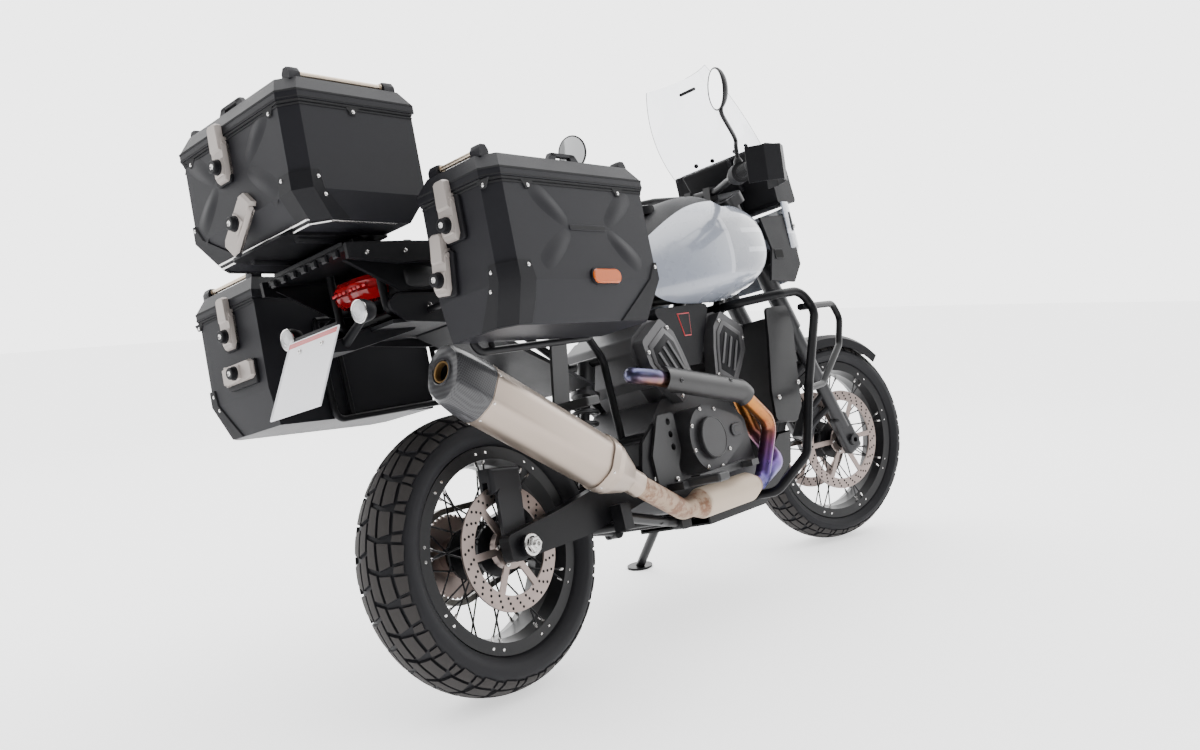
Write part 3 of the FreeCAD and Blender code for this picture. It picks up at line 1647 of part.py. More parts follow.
def case_carrier(side, inner, seam, length):
    """Tube loop beside the tail that a side case hangs on."""
    y = side * (inner - carrier_tube_radius - seat_gap)
    high = seam - length * math.sin(math.radians(case_pitch)) - carrier_below_seam
    low = high - carrier_height
    loop = [
        Vector(carrier_back, y, high), Vector(carrier_front, y, high), Vector(carrier_front, y, low),
        Vector(carrier_back, y, low)]
    frame = tube(loop + [loop[0], loop[0] + forward * overrun * 2], carrier_tube_radius, carrier_tube_radius * 3)
    arms = []
    for x, root, arm_z in (
            (carrier_back + overrun * 4, tail_half * 0.83, tail_end_z - overrun * 0.6),
            (carrier_front - overrun * 3, tail_half, tail_front_z)):
        arms.append(rod(Vector(x, side * root, arm_z), Vector(x, y, arm_z), carrier_tube_radius * 0.9))
        arms.append(rod(Vector(x, y, low), Vector(x, y, high), carrier_tube_radius * 0.8))
    return fused([frame] + arms)


def case_carriers():
    right = case_carrier(-1, right_case_outer - right_case_depth, right_case_seam, right_case_length)
    left = case_carrier(1, left_case_outer - left_case_depth, left_case_seam, left_case_length)
    return clear_of(compound([right, left]), tail_frame, seats)


# Cases

def case_footprint(length, depth, bevel, inset, z):
    """Bevelled rectangle; the origin is its rear corner nearest the motorcycle."""
    low, high_x, high_y = inset, length - inset, depth - inset
    points = [
        Vector(low, low, z), Vector(high_x, low, z), Vector(high_x, high_y - bevel, z), Vector(high_x - bevel, high_y, z),
        Vector(low + bevel, high_y, z), Vector(low, high_y - bevel, z)]
    return Part.makePolygon(points + [points[0]])


def chamfer_footprint(length, depth, bevel, end_inset, outer_inset, inner_inset, z):
    low, high = end_inset, length - end_inset
    outer = depth - outer_inset
    points = [
        Vector(low, inner_inset, z), Vector(high, inner_inset, z), Vector(high, outer - bevel, z),
        Vector(high - bevel, outer, z), Vector(low + bevel, outer, z), Vector(low, outer - bevel, z)]
    return Part.makePolygon(points + [points[0]])


def case_solid(length, depth, side, chamfer, offset, inner_inset):
    """Closed case below its seam, drawn with the seam at z = 0; a positive offset shrinks it."""
    top = case_footprint(length, depth, case_bevel, offset, overrun if offset else 0)
    crease = case_footprint(length, depth, case_bevel, offset, -side)
    share = 0.35
    bottom = chamfer_footprint(
        length, depth, case_bevel, case_chamfer_inset * share + offset, case_chamfer_inset + offset,
        inner_inset + offset, -side - chamfer + offset)
    upper = Part.makeLoft([top, crease], True, True)
    lower = Part.makeLoft([crease, bottom], True, True)
    return upper.fuse(lower)


def case_shell(length, depth, side, chamfer, inner_inset):
    outer = case_solid(length, depth, side, chamfer, 0, inner_inset)
    inner = case_solid(length, depth, side, chamfer, case_wall, inner_inset)
    return outer.cut(inner)


def lid_shell(length, depth):
    """Lid with a lip around the case, drawn with the seam at z = 0."""
    step = lid_height * 0.35
    lip = case_footprint(length, depth, case_bevel, -lid_lip, lid_gap)
    brim = case_footprint(length, depth, case_bevel, -lid_lip, step)
    top = case_footprint(length, depth, case_bevel, lid_inset, lid_height)
    outer = Part.makeLoft([lip, brim], True, True).fuse(Part.makeLoft([brim, top], True, True))
    inside = Part.makeLoft([
        case_footprint(length, depth, case_bevel, case_wall, lid_gap - overrun),
        case_footprint(length, depth, case_bevel, case_wall, step)], True, True)
    crown = Part.makeLoft([
        case_footprint(length, depth, case_bevel, case_wall, step),
        case_footprint(length, depth, case_bevel, lid_inset + case_wall, lid_height - case_wall)], True, True)
    return outer.cut(inside).cut(crown)


def case_placement(back, inner, seam, side):
    """Puts a case drawn from its inner rear corner beside the motorcycle, nose down by its pitch."""
    return Placement(Vector(back, side * inner, seam), Rotation(leftward, case_pitch))


def place_case(shape, back, inner, seam, side):
    if side < 0:
        shape = mirrored(shape)
    shape = shape.copy()
    shape.Placement = case_placement(back, inner, seam, side).multiply(shape.Placement)
    return shape


def place_right(shape):
    return place_case(shape, right_case_back, right_case_outer - right_case_depth, right_case_seam, -1)


def place_left(shape):
    return place_case(shape, left_case_back, left_case_outer - left_case_depth, left_case_seam, 1)


def place_top(shape):
    """The top case lies across: its long side faces the rear."""
    turn = Placement(Vector(top_case_length, -top_case_width / 2, 0), Rotation(upward, 90))
    shape = shape.copy()
    shape.Placement = turn.multiply(shape.Placement)
    shape.Placement = case_placement(top_case_back, 0, top_case_seam, 1).multiply(shape.Placement)
    return shape


def right_case():
    return place_right(case_shell(right_case_length, right_case_depth, right_case_side, right_case_chamfer, 0))


def left_case():
    return place_left(case_shell(left_case_length, left_case_depth, left_case_side, left_case_chamfer, 0))


def top_case():
    inset = case_chamfer_inset
    return place_top(case_shell(top_case_width, top_case_length, top_case_side, top_case_chamfer, inset))


def right_lid():
    return place_right(lid_shell(right_case_length, right_case_depth))


def left_lid():
    return place_left(lid_shell(left_case_length, left_case_depth))


def top_lid():
    return place_top(lid_shell(top_case_width, top_case_length))


def latch(rear_x, centre_y, top_z):
    """Cast clasp flat on the face at rear_x, with its round lock knob."""
    back = rear_x - seat_gap
    body = block(back - latch_thickness, back, centre_y - latch_width / 2, centre_y + latch_width / 2, top_z - latch_height, top_z)
    slanted = [edge for edge in body.Edges if abs(edge.tangentAt(0).x) > 0.5]
    body = body.makeFillet(latch_width / 5, slanted)
    knob = Part.makeCylinder(
        latch_knob_radius, latch_knob_depth, Vector(back - latch_thickness, centre_y, top_z - latch_height * 0.62), forward * -1)
    return fused([body, knob])


def side_cases():
    return compound([right_case(), left_case()])


def case_latches():
    return compound(right_latches() + left_latches() + [top_latches()])


def right_latches():
    centre = right_case_depth / 2
    shapes = [latch(0, centre * 0.8, -lid_gap * 4), latch(0, latch_width * 0.5, -right_case_side * 0.66)]
    return [place_right(shape) for shape in shapes]


def left_latches():
    centre = left_case_depth / 2
    shapes = [latch(0, centre * 0.8, -lid_gap * 4), latch(0, latch_width * 0.5, -left_case_side * 0.66)]
    return [place_left(shape) for shape in shapes]


def top_latches():
    shape = latch(0, 0, -lid_gap * 4)
    shape = turned_about(shape, Vector(0, 0, 0), upward, -90)
    shape = moved(shape, Vector(top_case_width * 0.56, top_case_length, 0))
    return place_top(shape)


# Crash bars and skid plate

def crash_bar():
    low = Vector(bar_back, 0, bar_low)
    high = Vector(bar_front, -bar_reach, bar_high)
    shares = [(0.62, 0.85, 1), (0.92, 0.92, 1), (1, 0.98, 0.88), (0.55, 1, 0.5), (0.32, 0.94, 0.15), (0.12, 0.66, 0)]
    mount = Vector(engine_mount_x, -frame_half - frame_tube_radius - seat_gap, engine_mount_z)
    foot = Vector(bar_back + bar_bend / 2, -skid_half - seat_gap, bar_low)
    route = [mount, mount - leftward * bar_bend] + between(low, high, shares) + [foot]
    main = tube(route, bar_tube_radius, bar_bend)
    hoop_low_corner = Vector(bar_front - bar_bend, 0, hoop_low)
    hoop_high_corner = Vector(hoop_front, -bar_reach * 0.86, hoop_top_z())
    hoop_shares = [(0.02, 1.06, 1), (0.9, 1, 1), (1, 1, 0.8), (0.78, 1.02, 0.45), (0.12, 1.05, 0.02), (-0.3, 1.08, 0.0)]
    hoop = tube(between(hoop_low_corner, hoop_high_corner, hoop_shares), hoop_tube_radius, bar_bend * 0.6)
    return fused([main, hoop])


def hoop_top_z():
    return bar_high - bar_bend


def crash_bars():
    return clear_of(compound(both_sides(crash_bar())), skid_plate)


def skid_plate():
    shares = [(0, 0), (0.55, 0), (0.92, 0.5), (1, 1)]
    outer = outline(skid_back, skid_front, skid_low, skid_high, shares)
    inner = [(x - skid_thickness * a, z + skid_thickness) for (x, z), a in zip(outer, (0, 0.3, 1, 1.4))]
    profile = outer + list(reversed(inner))
    sheet = polygon_face([Vector(x, -skid_half, z) for x, z in profile]).extrude(leftward * (skid_half * 2))
    wing = outer + outline(skid_back, skid_front, skid_low, skid_high, [(0.86, 1), (0.5, 0.35), (0, 0.25)])
    sides = []
    for side in (-1, 1):
        face_y = side * skid_half
        face = polygon_face([Vector(x, face_y, z) for x, z in wing])
        sides.append(face.extrude(leftward * (-side * skid_thickness)))
    return fused([sheet] + sides)


# Nose

def nose_section(z, back, front, half, thickness):
    """Rounded plan of the nose at one height, as an open shell closed into a face outline."""
    def arc(grow):
        middle = Vector(front + grow, 0, z)
        points = [
            Vector(back, -half - grow, z), Vector(back + (front - back) * 0.45, -(half + grow) * 0.93, z),
            Vector(back + (front - back) * 0.85, -(half + grow) * 0.6, z), middle,
            Vector(back + (front - back) * 0.85, (half + grow) * 0.6, z),
            Vector(back + (front - back) * 0.45, (half + grow) * 0.93, z), Vector(back, half + grow, z)]
        curve = Part.BSplineCurve()
        curve.interpolate(points)
        return curve.toShape(), points[0], points[-1]

    outer, outer_start, outer_end = arc(0)
    inner, inner_start, inner_end = arc(-thickness)
    return Part.Wire([
        outer, Part.LineSegment(outer_end, inner_end).toShape(), inner,
        Part.LineSegment(inner_start, outer_start).toShape()])


def nose_cowl():
    levels = [(cowl_low, 0.72, 0.78), (cowl_low + (cowl_high - cowl_low) * 0.4, 1, 0.98), (cowl_high, 0.88, 1)]
    sections = []
    for z, reach, width in levels:
        front = nose_back + (nose_front - nose_back) * reach
        sections.append(nose_section(z, nose_back, front, nose_half * width, cowl_thickness))
    return Part.makeLoft(sections, True, True)


def housing():
    low = cowl_high + seat_gap
    shares = [(0.0, 0.0), (1, 0.02), (0.92, 0.55), (0.72, 1), (0.0, 1)]
    points = outline(housing_back, housing_front, low, housing_high, shares)
    body = side_plate(points, -housing_half, housing_half, overrun)
    lens = headlight_tool(0)
    stay = block(
        on_stem(lower_clamp_at + clamp_length).x + head_tube_radius, housing_back + overrun,
        -nose_stay_half, nose_stay_half, nose_stay_low, nose_stay_high)
    return body, lens, stay


def headlight_tool(gap):
    low = cowl_high + (housing_high - cowl_high) * (1 - lens_share) / 2
    high = housing_high - (housing_high - cowl_high) * (1 - lens_share) / 2
    half = housing_half * lens_share + gap
    x = housing_front - lens_thickness * 2.2
    return block(x - gap, x + lens_thickness * 2.4, -half, half, low - gap, high * 0.995 + gap)


def headlight_housing():
    body, lens, stay = housing()
    body = body.cut(headlight_tool(seat_gap))
    return body


def headlight_lens():
    body, lens, stay = housing()
    return body.common(headlight_tool(0))


def nose_stay():
    """Bracket from the steering head to the nose, between the fork legs."""
    head, bore = head_tube()
    start = on_stem(lower_clamp_at + clamp_length)
    beam = block(start.x, nose_stay_front, -nose_stay_half, nose_stay_half, nose_stay_low, nose_stay_high)
    spread = block(
        nose_stay_front - nose_stay_thickness, nose_stay_front, -nose_half, nose_half, nose_stay_low, nose_stay_high)
    post = block(
        housing_back - nose_stay_thickness, housing_back, -nose_post_half, nose_post_half,
        nose_stay_high - nose_stay_thickness, housing_high - overrun)
    return fused([beam, spread, post, display()]).cut(head).cut(nose_cowl()).cut(housing()[0])


def screen_section(z, x, half, bow):
    def arc(depth):
        left = Vector(x - bow, -half, z)
        right = Vector(x - bow, half, z)
        middle = Vector(x + depth, 0, z)
        left = Vector(left.x + depth, left.y, z)
        right = Vector(right.x + depth, right.y, z)
        return Part.Arc(left, middle, right), left, right
    outer, outer_left, outer_right = arc(0)
    inner, inner_left, inner_right = arc(-screen_thickness)
    return Part.Wire([
        outer.toShape(), Part.LineSegment(outer_right, inner_right).toShape(), inner.toShape(),
        Part.LineSegment(inner_left, outer_left).toShape()])


def windscreen():
    levels = [(0, 0, 1, 1), (0.55, 0.62, 0.94, 0.85), (1, 1, screen_half_high / screen_half_low, 0.55)]
    sections = []
    for rise, back, width, bow in levels:
        z = screen_low + (screen_high - screen_low) * rise
        x = screen_low_x + (screen_high_x - screen_low_x) * back
        sections.append(screen_section(z, x, screen_half_low * width, screen_bow * bow))
    shell = Part.makeLoft(sections, True, False)
    return shell.cut(housing()[0])


def display():
    body = block(-display_depth / 2, display_depth / 2, -display_half, display_half, -display_height / 2, display_height / 2)
    body = body.makeFillet(display_depth / 3, body.Edges)
    body.Placement = Placement(Vector(display_x, 0, display_z), Rotation(leftward, -display_tilt))
    arm = block(
        display_x + display_depth * 0.2, nose_back + overrun / 4 - seat_gap, -nose_stay_half, nose_stay_half,
        display_z - nose_stay_half, display_z + nose_stay_half)
    return fused([body, arm])


# Foot controls

def peg(x, z, inner):
    body = block(x - peg_width / 2, x + peg_width / 2, inner, inner + peg_length, z, z + peg_height)
    return body.makeFillet(peg_height / 4, body.Edges)


def peg_bracket(x, z, inner, top_x, top_z):
    """Hanger plate from the frame down to a peg."""
    half = peg_width * 0.6
    points = [
        (x - half, z - peg_height), (x + half, z - peg_height), (top_x + half, top_z), (top_x - half, top_z)]
    return side_plate(points, inner - hanger_thickness, inner, hanger_thickness * 1.5)


def rider_pegs():
    """Folding pegs on short arms, and the drilled heel plates behind them."""
    inner = swingarm_inner + swingarm_thickness + mid_frame_thickness + seat_gap * 2
    arm = block(
        peg_x - peg_width, peg_x, inner, peg_offset + overrun, peg_z + seat_gap * 10, peg_z + peg_height)
    heel_low, heel_high = peg_z + seat_gap * 10, crank_z + peg_length
    points = outline(
        swingarm_pivot_x, peg_x + peg_width, heel_low, heel_high, [(0, 0), (0.8, 0), (0.8, 0.3), (1, 0.5), (1, 1), (0.45, 1), (0, 0.5)])
    heel = side_plate(points, inner, inner + hanger_thickness, peg_height / 2)
    for share in (0.55, 0.72, 0.89):
        z = heel_low + (heel_high - heel_low) * share
        heel = heel.cut(disc_y(peg_height * 0.4, inner - overrun, inner + overrun * 2, peg_x + peg_width * 0.35, z))
    shape = fused([heel, arm, peg(peg_x, peg_z + seat_gap * 10, peg_offset)])
    return [clear_of(side, engine_side_covers) for side in both_sides(shape)]


def pillion_pegs():
    inner = tail_half + tail_tube_radius + seat_gap
    top = tail_front_z - tail_tube_radius
    plate = peg_bracket(pillion_peg_x, pillion_peg_z, inner + hanger_thickness, pillion_peg_x + peg_width * 1.5, top + tail_tube_radius * 2)
    shape = fused([plate, peg(pillion_peg_x, pillion_peg_z, inner + hanger_thickness)])
    return [clear_of(side, tail_fairing, tail_frame) for side in both_sides(shape)]


def footpegs():
    return compound(rider_pegs() + pillion_pegs())


def foot_lever():
    """Lever beside a peg, with the pad that a boot works."""
    start = Vector(peg_x + peg_width * 0.6, 0, peg_z + pedal_rise)
    points = [
        (start.x, start.z), (start.x + pedal_length, start.z + pedal_height * 0.2),
        (start.x + pedal_length, start.z + pedal_height * 1.2), (start.x, start.z + pedal_height)]
    arm = side_plate(points, pedal_offset, pedal_offset + pedal_thickness, pedal_height / 3)
    pad = block(
        start.x + pedal_length - pedal_pad_width / 2, start.x + pedal_length + pedal_height / 2, pedal_offset,
        pedal_offset + pedal_pad_width, start.z + pedal_height * 0.2, start.z + pedal_height)
    root = block(
        start.x - pedal_height, start.x + pedal_height / 2, peg_offset + seat_gap, pedal_offset + pedal_thickness,
        start.z, start.z + pedal_height)
    return fused([arm, pad, root])


def foot_levers():
    return clear_of(compound(both_sides(foot_lever())), footpegs)


# Side stand

def stand_foot_place():
    """Middle of the foot's sole on the upright motorcycle, which meets the floor once it leans."""
    floor_place = Vector(stand_foot_x - origin_ahead, stand_foot_left - origin_left, 0)
    return stance.inverse().multVec(floor_place)


stand_pivot = Vector(stand_pivot_x, stand_pivot_half, stand_pivot_z)


def stand_axis():
    """The leg swings back and up from where it stands to a place beside the frame."""
    down = (stand_foot_place() - stand_pivot).normalize()
    stowed = Vector(-1, stand_stow_out_share, stand_stow_up_share).normalize()
    return down.cross(stowed).normalize()


stand_stow_out_share = 0.2
stand_stow_up_share = 0.06


def side_stand():
    sole = stand_foot_place()
    up = stance.inverse().Rotation.multVec(upward)
    ahead = stance.inverse().Rotation.multVec(forward)
    foot = Part.makeCylinder(1, stand_foot_thickness)
    scale = FreeCAD.Matrix()
    scale.scale(stand_foot_length / 2, stand_foot_width / 2, 1)
    foot = foot.transformGeometry(scale)
    foot.Placement = Placement(sole, stance.inverse().Rotation)
    ankle = sole + up * (stand_foot_thickness / 2)
    axis = stand_axis()
    leg = rod(stand_pivot, ankle, stand_leg_radius)
    below = block(-wheelbase, wheelbase, -wheelbase, wheelbase, -wheelbase, 0)
    below.Placement = Placement(sole, stance.inverse().Rotation)
    eye = rod(stand_pivot - axis * (stand_eye_thickness / 2), stand_pivot + axis * (stand_eye_thickness / 2), stand_eye_radius)
    bore = rod(stand_pivot - axis * stand_eye_thickness, stand_pivot + axis * stand_eye_thickness, stand_pin_radius + bearing_gap)
    return fused([leg.cut(below), foot, eye]).cut(bore)


def stand_bracket():
    """Fork of two lugs with the pin that the side stand turns on."""
    axis = stand_axis()
    inner = stand_eye_thickness / 2 + seat_gap
    outer = inner + stand_lug_thickness
    inward = leftward * -1
    inward = (inward - axis * inward.dot(axis)).normalize() * (stand_eye_radius * 2)
    pieces = [rod(stand_pivot - axis * outer, stand_pivot + axis * outer, stand_pin_radius)]
    for side in (-1, 1):
        near = stand_pivot + axis * (side * inner)
        far = stand_pivot + axis * (side * outer)
        lug = rod(near, far, stand_eye_radius * 0.8)
        pieces += [lug, moved(lug, inward), hull_slab(near, far, inward, stand_eye_radius * 0.8)]
    root = stand_pivot + inward
    pieces.append(rod(root - axis * outer, root + axis * outer, stand_eye_radius * 0.7))
    return clear_of(fused(pieces), crankcase, engine_side_covers, skid_plate)


def hull_slab(near, far, rise, radius):
    """Straight cheek between two round lug ends."""
    axis = far - near
    side = axis.cross(rise).normalize() * radius
    base = [near - side, near + side, near + side + rise, near - side + rise]
    return polygon_face(base).extrude(axis)


# Centre stand

def centre_stand():
    rise = math.radians(centre_rise)
    pivot = Vector(centre_pivot_x, 0, centre_pivot_z)
    along = Vector(-math.cos(rise), 0, math.sin(rise))
    foot = pivot + along * centre_leg_length
    pieces = []
    for side in (-1, 1):
        y = leftward * (side * centre_half)
        out = leftward * (side * centre_foot_half)
        knee = pivot + y + along * centre_straight
        pieces.append(tube([pivot + y, knee, foot + out], centre_leg_radius, centre_leg_radius * 3))
        pad = block(
            -centre_foot_height / 2, centre_foot_height / 2, -centre_leg_radius * 1.3, centre_leg_radius * 1.3,
            -centre_foot_length / 2, centre_foot_length / 2)
        pad.Placement = Placement(foot + out, Rotation())
        pieces.append(pad)
        pieces.append(disc_y(centre_eye_radius, y.y - centre_leg_radius, y.y + centre_leg_radius, pivot.x, pivot.z))
    cross = pivot + along * (centre_leg_length * centre_cross_share)
    half = centre_half + (centre_foot_half - centre_half) * centre_cross_share
    pieces.append(rod(cross - leftward * half, cross + leftward * half, centre_leg_radius * 0.9))
    bore = disc_y(stand_pin_radius + bearing_gap, -centre_half * 2, centre_half * 2, pivot.x, pivot.z)
    return fused(pieces).cut(bore)


def centre_bracket():
    """Lugs under the frame and the pin that the centre stand turns on."""
    inner = centre_half + centre_leg_radius + seat_gap
    outer = inner + stand_lug_thickness
    pieces = [disc_y(stand_pin_radius, -outer, outer, centre_pivot_x, centre_pivot_z)]
    shares = [(0, 0), (1, 0), (1, 1), (0, 1)]
    for side in (-1, 1):
        low, high = (inner, outer) if side > 0 else (-outer, -inner)
        points = outline(
            centre_pivot_x - centre_eye_radius, centre_pivot_x + centre_eye_radius,
            centre_pivot_z - centre_eye_radius, centre_pivot_z + centre_eye_radius * 2.4, shares)
        pieces.append(side_plate(points, low, high, centre_eye_radius * 0.6))
    tie = rod(
        Vector(centre_pivot_x, -outer, centre_pivot_z + centre_eye_radius * 1.9),
        Vector(centre_pivot_x, outer, centre_pivot_z + centre_eye_radius * 1.9), stand_pin_radius * 1.2)
    return clear_of(fused(pieces + [tie]), crankcase, catalyst)


def stand_brackets():
    return compound([stand_bracket(), centre_bracket()])


# Assembly

ROOT_NODES = {
    "front_frame": front_frame,
    "mid_frame": mid_frame,
    "tail_frame": tail_frame,
    "crankcase": crankcase,
    "cylinders": cylinders,
    "cylinder_covers": cylinder_covers,
    "engine_side_covers": engine_side_covers,
    "intake_cover": intake_cover,
    "radiator": radiator,
    "radiator_shrouds": radiator_shrouds,
    "exhaust_headers": headers,
    "catalyst_pipe": catalyst,
    "header_shield": header_shield,
    "muffler": muffler,
    "muffler_cap": muffler_cap,
    "fuel_tank": fuel_tank,
    "tank_centre": tank_centre,
    "seats": seats,
    "tail_fairing": tail_fairing,
    "tail_lamp": tail_lamp,
    "rear_indicators": rear_indicators,
    "number_plate": number_plate,
    "plate_holder": plate_holder,
    "rack": rack,
    "case_carriers": case_carriers,
    "side_cases": side_cases,
    "top_case": top_case,
    "case_latches": case_latches,
    "swingarm": swingarm_and_axle,
    "rear_shock": rear_shock,
    "chain": chain,
    "rear_caliper": rear_caliper,
    "crash_bars": crash_bars,
    "skid_plate": skid_plate,
    "nose_cowl": nose_cowl,
    "nose_stay": nose_stay,
    "headlight_housing": headlight_housing,
    "headlight_lens": headlight_lens,
    "windscreen": windscreen,
    "footpegs": footpegs,
    "foot_levers": foot_levers,
    "stand_brackets": stand_brackets,
    "right_lid": right_lid,
    "left_lid": left_lid,
    "top_lid": top_lid,
    "side_stand": side_stand,
    "centre_stand": centre_stand,
    "rear_tyre": rear_tyre,
    "rear_wheel": rear_wheel,
    "rear_disc_and_sprocket": rear_disc_and_sprocket,
}

STEERED_NODES = {
    "fork": fork_and_axle,
    "front_calipers": front_calipers,
    "front_fender": front_fender,
    "handlebar": bar_and_levers,
    "grips": grips,
    "handguards": handguards,
    "mirrors": mirrors,
    "front_tyre": front_tyre,
    "front_wheel": front_wheel,
    "front_discs": front_discs,
}


def write_nodes(nodes, placement):
    for name, make in nodes.items():
        shape = made(make).copy()
        shape.Placement = placement.multiply(shape.Placement)
        shape.exportStep("parts/" + name + ".step")


if __name__ == "__main__":
    write_nodes(ROOT_NODES, stance)
    write_nodes(STEERED_NODES, steering_stance)
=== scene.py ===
import json
import math

import bmesh
import bpy
from mathutils import Matrix, Vector


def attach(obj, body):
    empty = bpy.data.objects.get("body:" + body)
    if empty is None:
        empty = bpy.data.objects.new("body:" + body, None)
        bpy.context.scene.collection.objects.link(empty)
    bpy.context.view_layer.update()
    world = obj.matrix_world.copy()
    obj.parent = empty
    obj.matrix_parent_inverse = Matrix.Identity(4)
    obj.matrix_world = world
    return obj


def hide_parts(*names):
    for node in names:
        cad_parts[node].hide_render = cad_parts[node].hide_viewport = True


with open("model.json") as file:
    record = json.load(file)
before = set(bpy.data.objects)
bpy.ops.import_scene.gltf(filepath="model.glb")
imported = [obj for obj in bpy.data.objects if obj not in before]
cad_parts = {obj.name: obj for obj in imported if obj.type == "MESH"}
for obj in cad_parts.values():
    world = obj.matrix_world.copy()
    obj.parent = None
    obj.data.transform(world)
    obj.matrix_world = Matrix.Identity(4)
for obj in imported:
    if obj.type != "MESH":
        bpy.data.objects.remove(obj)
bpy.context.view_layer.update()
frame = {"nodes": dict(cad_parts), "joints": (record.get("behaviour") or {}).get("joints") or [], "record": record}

# Adventure motorcycle with two side cases and a top case: materials, tread, fasteners and trim.
# Lengths are metres. Places are given on the upright motorcycle, X forward, Y to the rider's
# left, Z up, from the point where the rear tyre meets the floor, and moved by STANCE.

RAKE = math.radians(25)
STEER = math.radians(-17)
WHEELBASE = 1.58

REAR_RADIUS, REAR_WIDTH, REAR_CROWN = 0.318, 0.170, 0.124
REAR_BEAD, REAR_BEAD_WIDTH = 0.216, 0.116
FRONT_RADIUS, FRONT_WIDTH, FRONT_CROWN = 0.325, 0.120, 0.074
FRONT_BEAD, FRONT_BEAD_WIDTH = 0.241, 0.080
RIM_LIP = 0.015
SHOULDER_SHARE, WIDEST_SHARE = 0.9, 0.42

X, Y, Z = Vector((1, 0, 0)), Vector((0, 1, 0)), Vector((0, 0, 1))


# Places

def axes(x, y, z, origin=(0, 0, 0)):
    """Matrix from three directions and an origin."""
    made = Matrix((x, y, z)).transposed().to_4x4()
    made.translation = origin
    return made


def moved(x=0.0, y=0.0, z=0.0):
    return Matrix.Translation((x, y, z))


def turned(degrees, axis):
    return Matrix.Rotation(math.radians(degrees), 4, axis)


def mirrored(side):
    """Identity for side 1, and the reflection to the other side of the motorcycle for -1."""
    return Matrix.Diagonal((1, side, 1, 1))


def joint(name):
    return next(j for j in frame["joints"] if j["name"] == name)


def body_of(node_name):
    groups = frame["record"]["behaviour"]["bodies"]
    return next(body for body, nodes in groups.items() if node_name in nodes)


def stance():
    """Matrix from the upright motorcycle to the frame, from the rear axle and the steering head."""
    spin = joint("rear_wheel_spin")
    left = Vector(spin["axis"]).normalized()
    stem = Vector(joint("steering")["axis"]).normalized()
    up = Matrix.Rotation(RAKE, 3, left) @ stem
    return axes(left.cross(up), left, up, Vector(spin["pos_m"]) - up * REAR_RADIUS)


def steered():
    pivot = Vector(joint("steering")["pos_m"])
    stem = Vector(joint("steering")["axis"]).normalized()
    turn = Matrix.Translation(pivot) @ Matrix.Rotation(STEER, 4, stem) @ Matrix.Translation(-pivot)
    return turn @ STANCE


STANCE = stance()
STEERED = steered()
REAR_AXLE = Vector((0, 0, REAR_RADIUS))
FRONT_AXLE = STEERED.inverted() @ Vector(joint("front_wheel_spin")["pos_m"])


# Camera, floor and light

def camera():
    """The photograph's camera, fitted to both wheels."""
    height, behind, right_of = 0.97082, 1.70195, 1.72641
    yaw, pitch, roll = (math.radians(a) for a in (40.1133, -6.2167, -2.5299))
    focal_pixels, picture_width, sensor = 1115.0, 1200.0, 36.0
    place = STANCE.translation + Vector((-behind, -right_of, 0))
    place.z = height
    ahead = Vector((math.cos(yaw) * math.cos(pitch), math.sin(yaw) * math.cos(pitch), math.sin(pitch)))
    level_right = Vector((math.sin(yaw), -math.cos(yaw), 0))
    level_up = level_right.cross(ahead)
    right = level_right * math.cos(roll) + level_up * math.sin(roll)
    up = level_up * math.cos(roll) - level_right * math.sin(roll)
    data = bpy.data.cameras.new("camera")
    data.sensor_width = sensor
    data.lens = focal_pixels * sensor / picture_width
    data.clip_start, data.clip_end = 0.05, 100
    eye = bpy.data.objects.new("camera", data)
    eye.matrix_world = axes(right, up, -ahead, place)
    bpy.context.collection.objects.link(eye)
    bpy.context.scene.camera = eye


def area_light(name, place, target, size, power):
    data = bpy.data.lights.new(name, "AREA")
    data.shape, data.size, data.size_y = "RECTANGLE", size[0], size[1]
    data.energy = power
    lamp = bpy.data.objects.new(name, data)
    lamp.location = place
    lamp.rotation_mode = "QUATERNION"
    lamp.rotation_quaternion = (Vector(target) - Vector(place)).to_track_quat("-Z", "Y")
    bpy.context.collection.objects.link(lamp)


def studio():
    """White room: its far side is lit brightly, the near side softly, with large soft lamps."""
    near, far = 0.28, 3.8
    near_end, far_end = -0.35, 0.60
    world = bpy.data.worlds.new("studio")
    bpy.context.scene.world = world
    world.use_nodes = True
    tree = world.node_tree
    share = node(tree, "ShaderNodeVectorMath", operation="DOT_PRODUCT")
    share.inputs[1].default_value = Vector((0.72, 0.60, 0.34)).normalized()
    tree.links.new(node(tree, "ShaderNodeTexCoord").outputs["Generated"], share.inputs[0])
    level = mapped_range(tree, share.outputs["Value"], (near_end, far_end), (near, far),
                         interpolation_type="SMOOTHSTEP")
    tree.links.new(level, tree.nodes["Background"].inputs["Strength"])
    tree.nodes["Background"].inputs["Color"].default_value = (1.0, 1.0, 1.0, 1)
    area_light("key", (-1.6, -2.6, 3.2), (0, -0.2, 0.5), (2.6, 2.0), 20)
    area_light("top", (0.2, 0.2, 3.6), (0, -0.1, 0.4), (3.4, 2.4), 16)
    area_light("fill", (-3.2, 1.6, 1.8), (-0.6, 0, 0.6), (2.2, 1.8), 8)
    area_light("front", (3.4, -0.6, 2.2), (0.5, 0, 0.6), (2.0, 1.6), 12)
    area_light("left", (0.4, 3.4, 2.2), (0, 0, 0.6), (2.6, 1.8), 12)


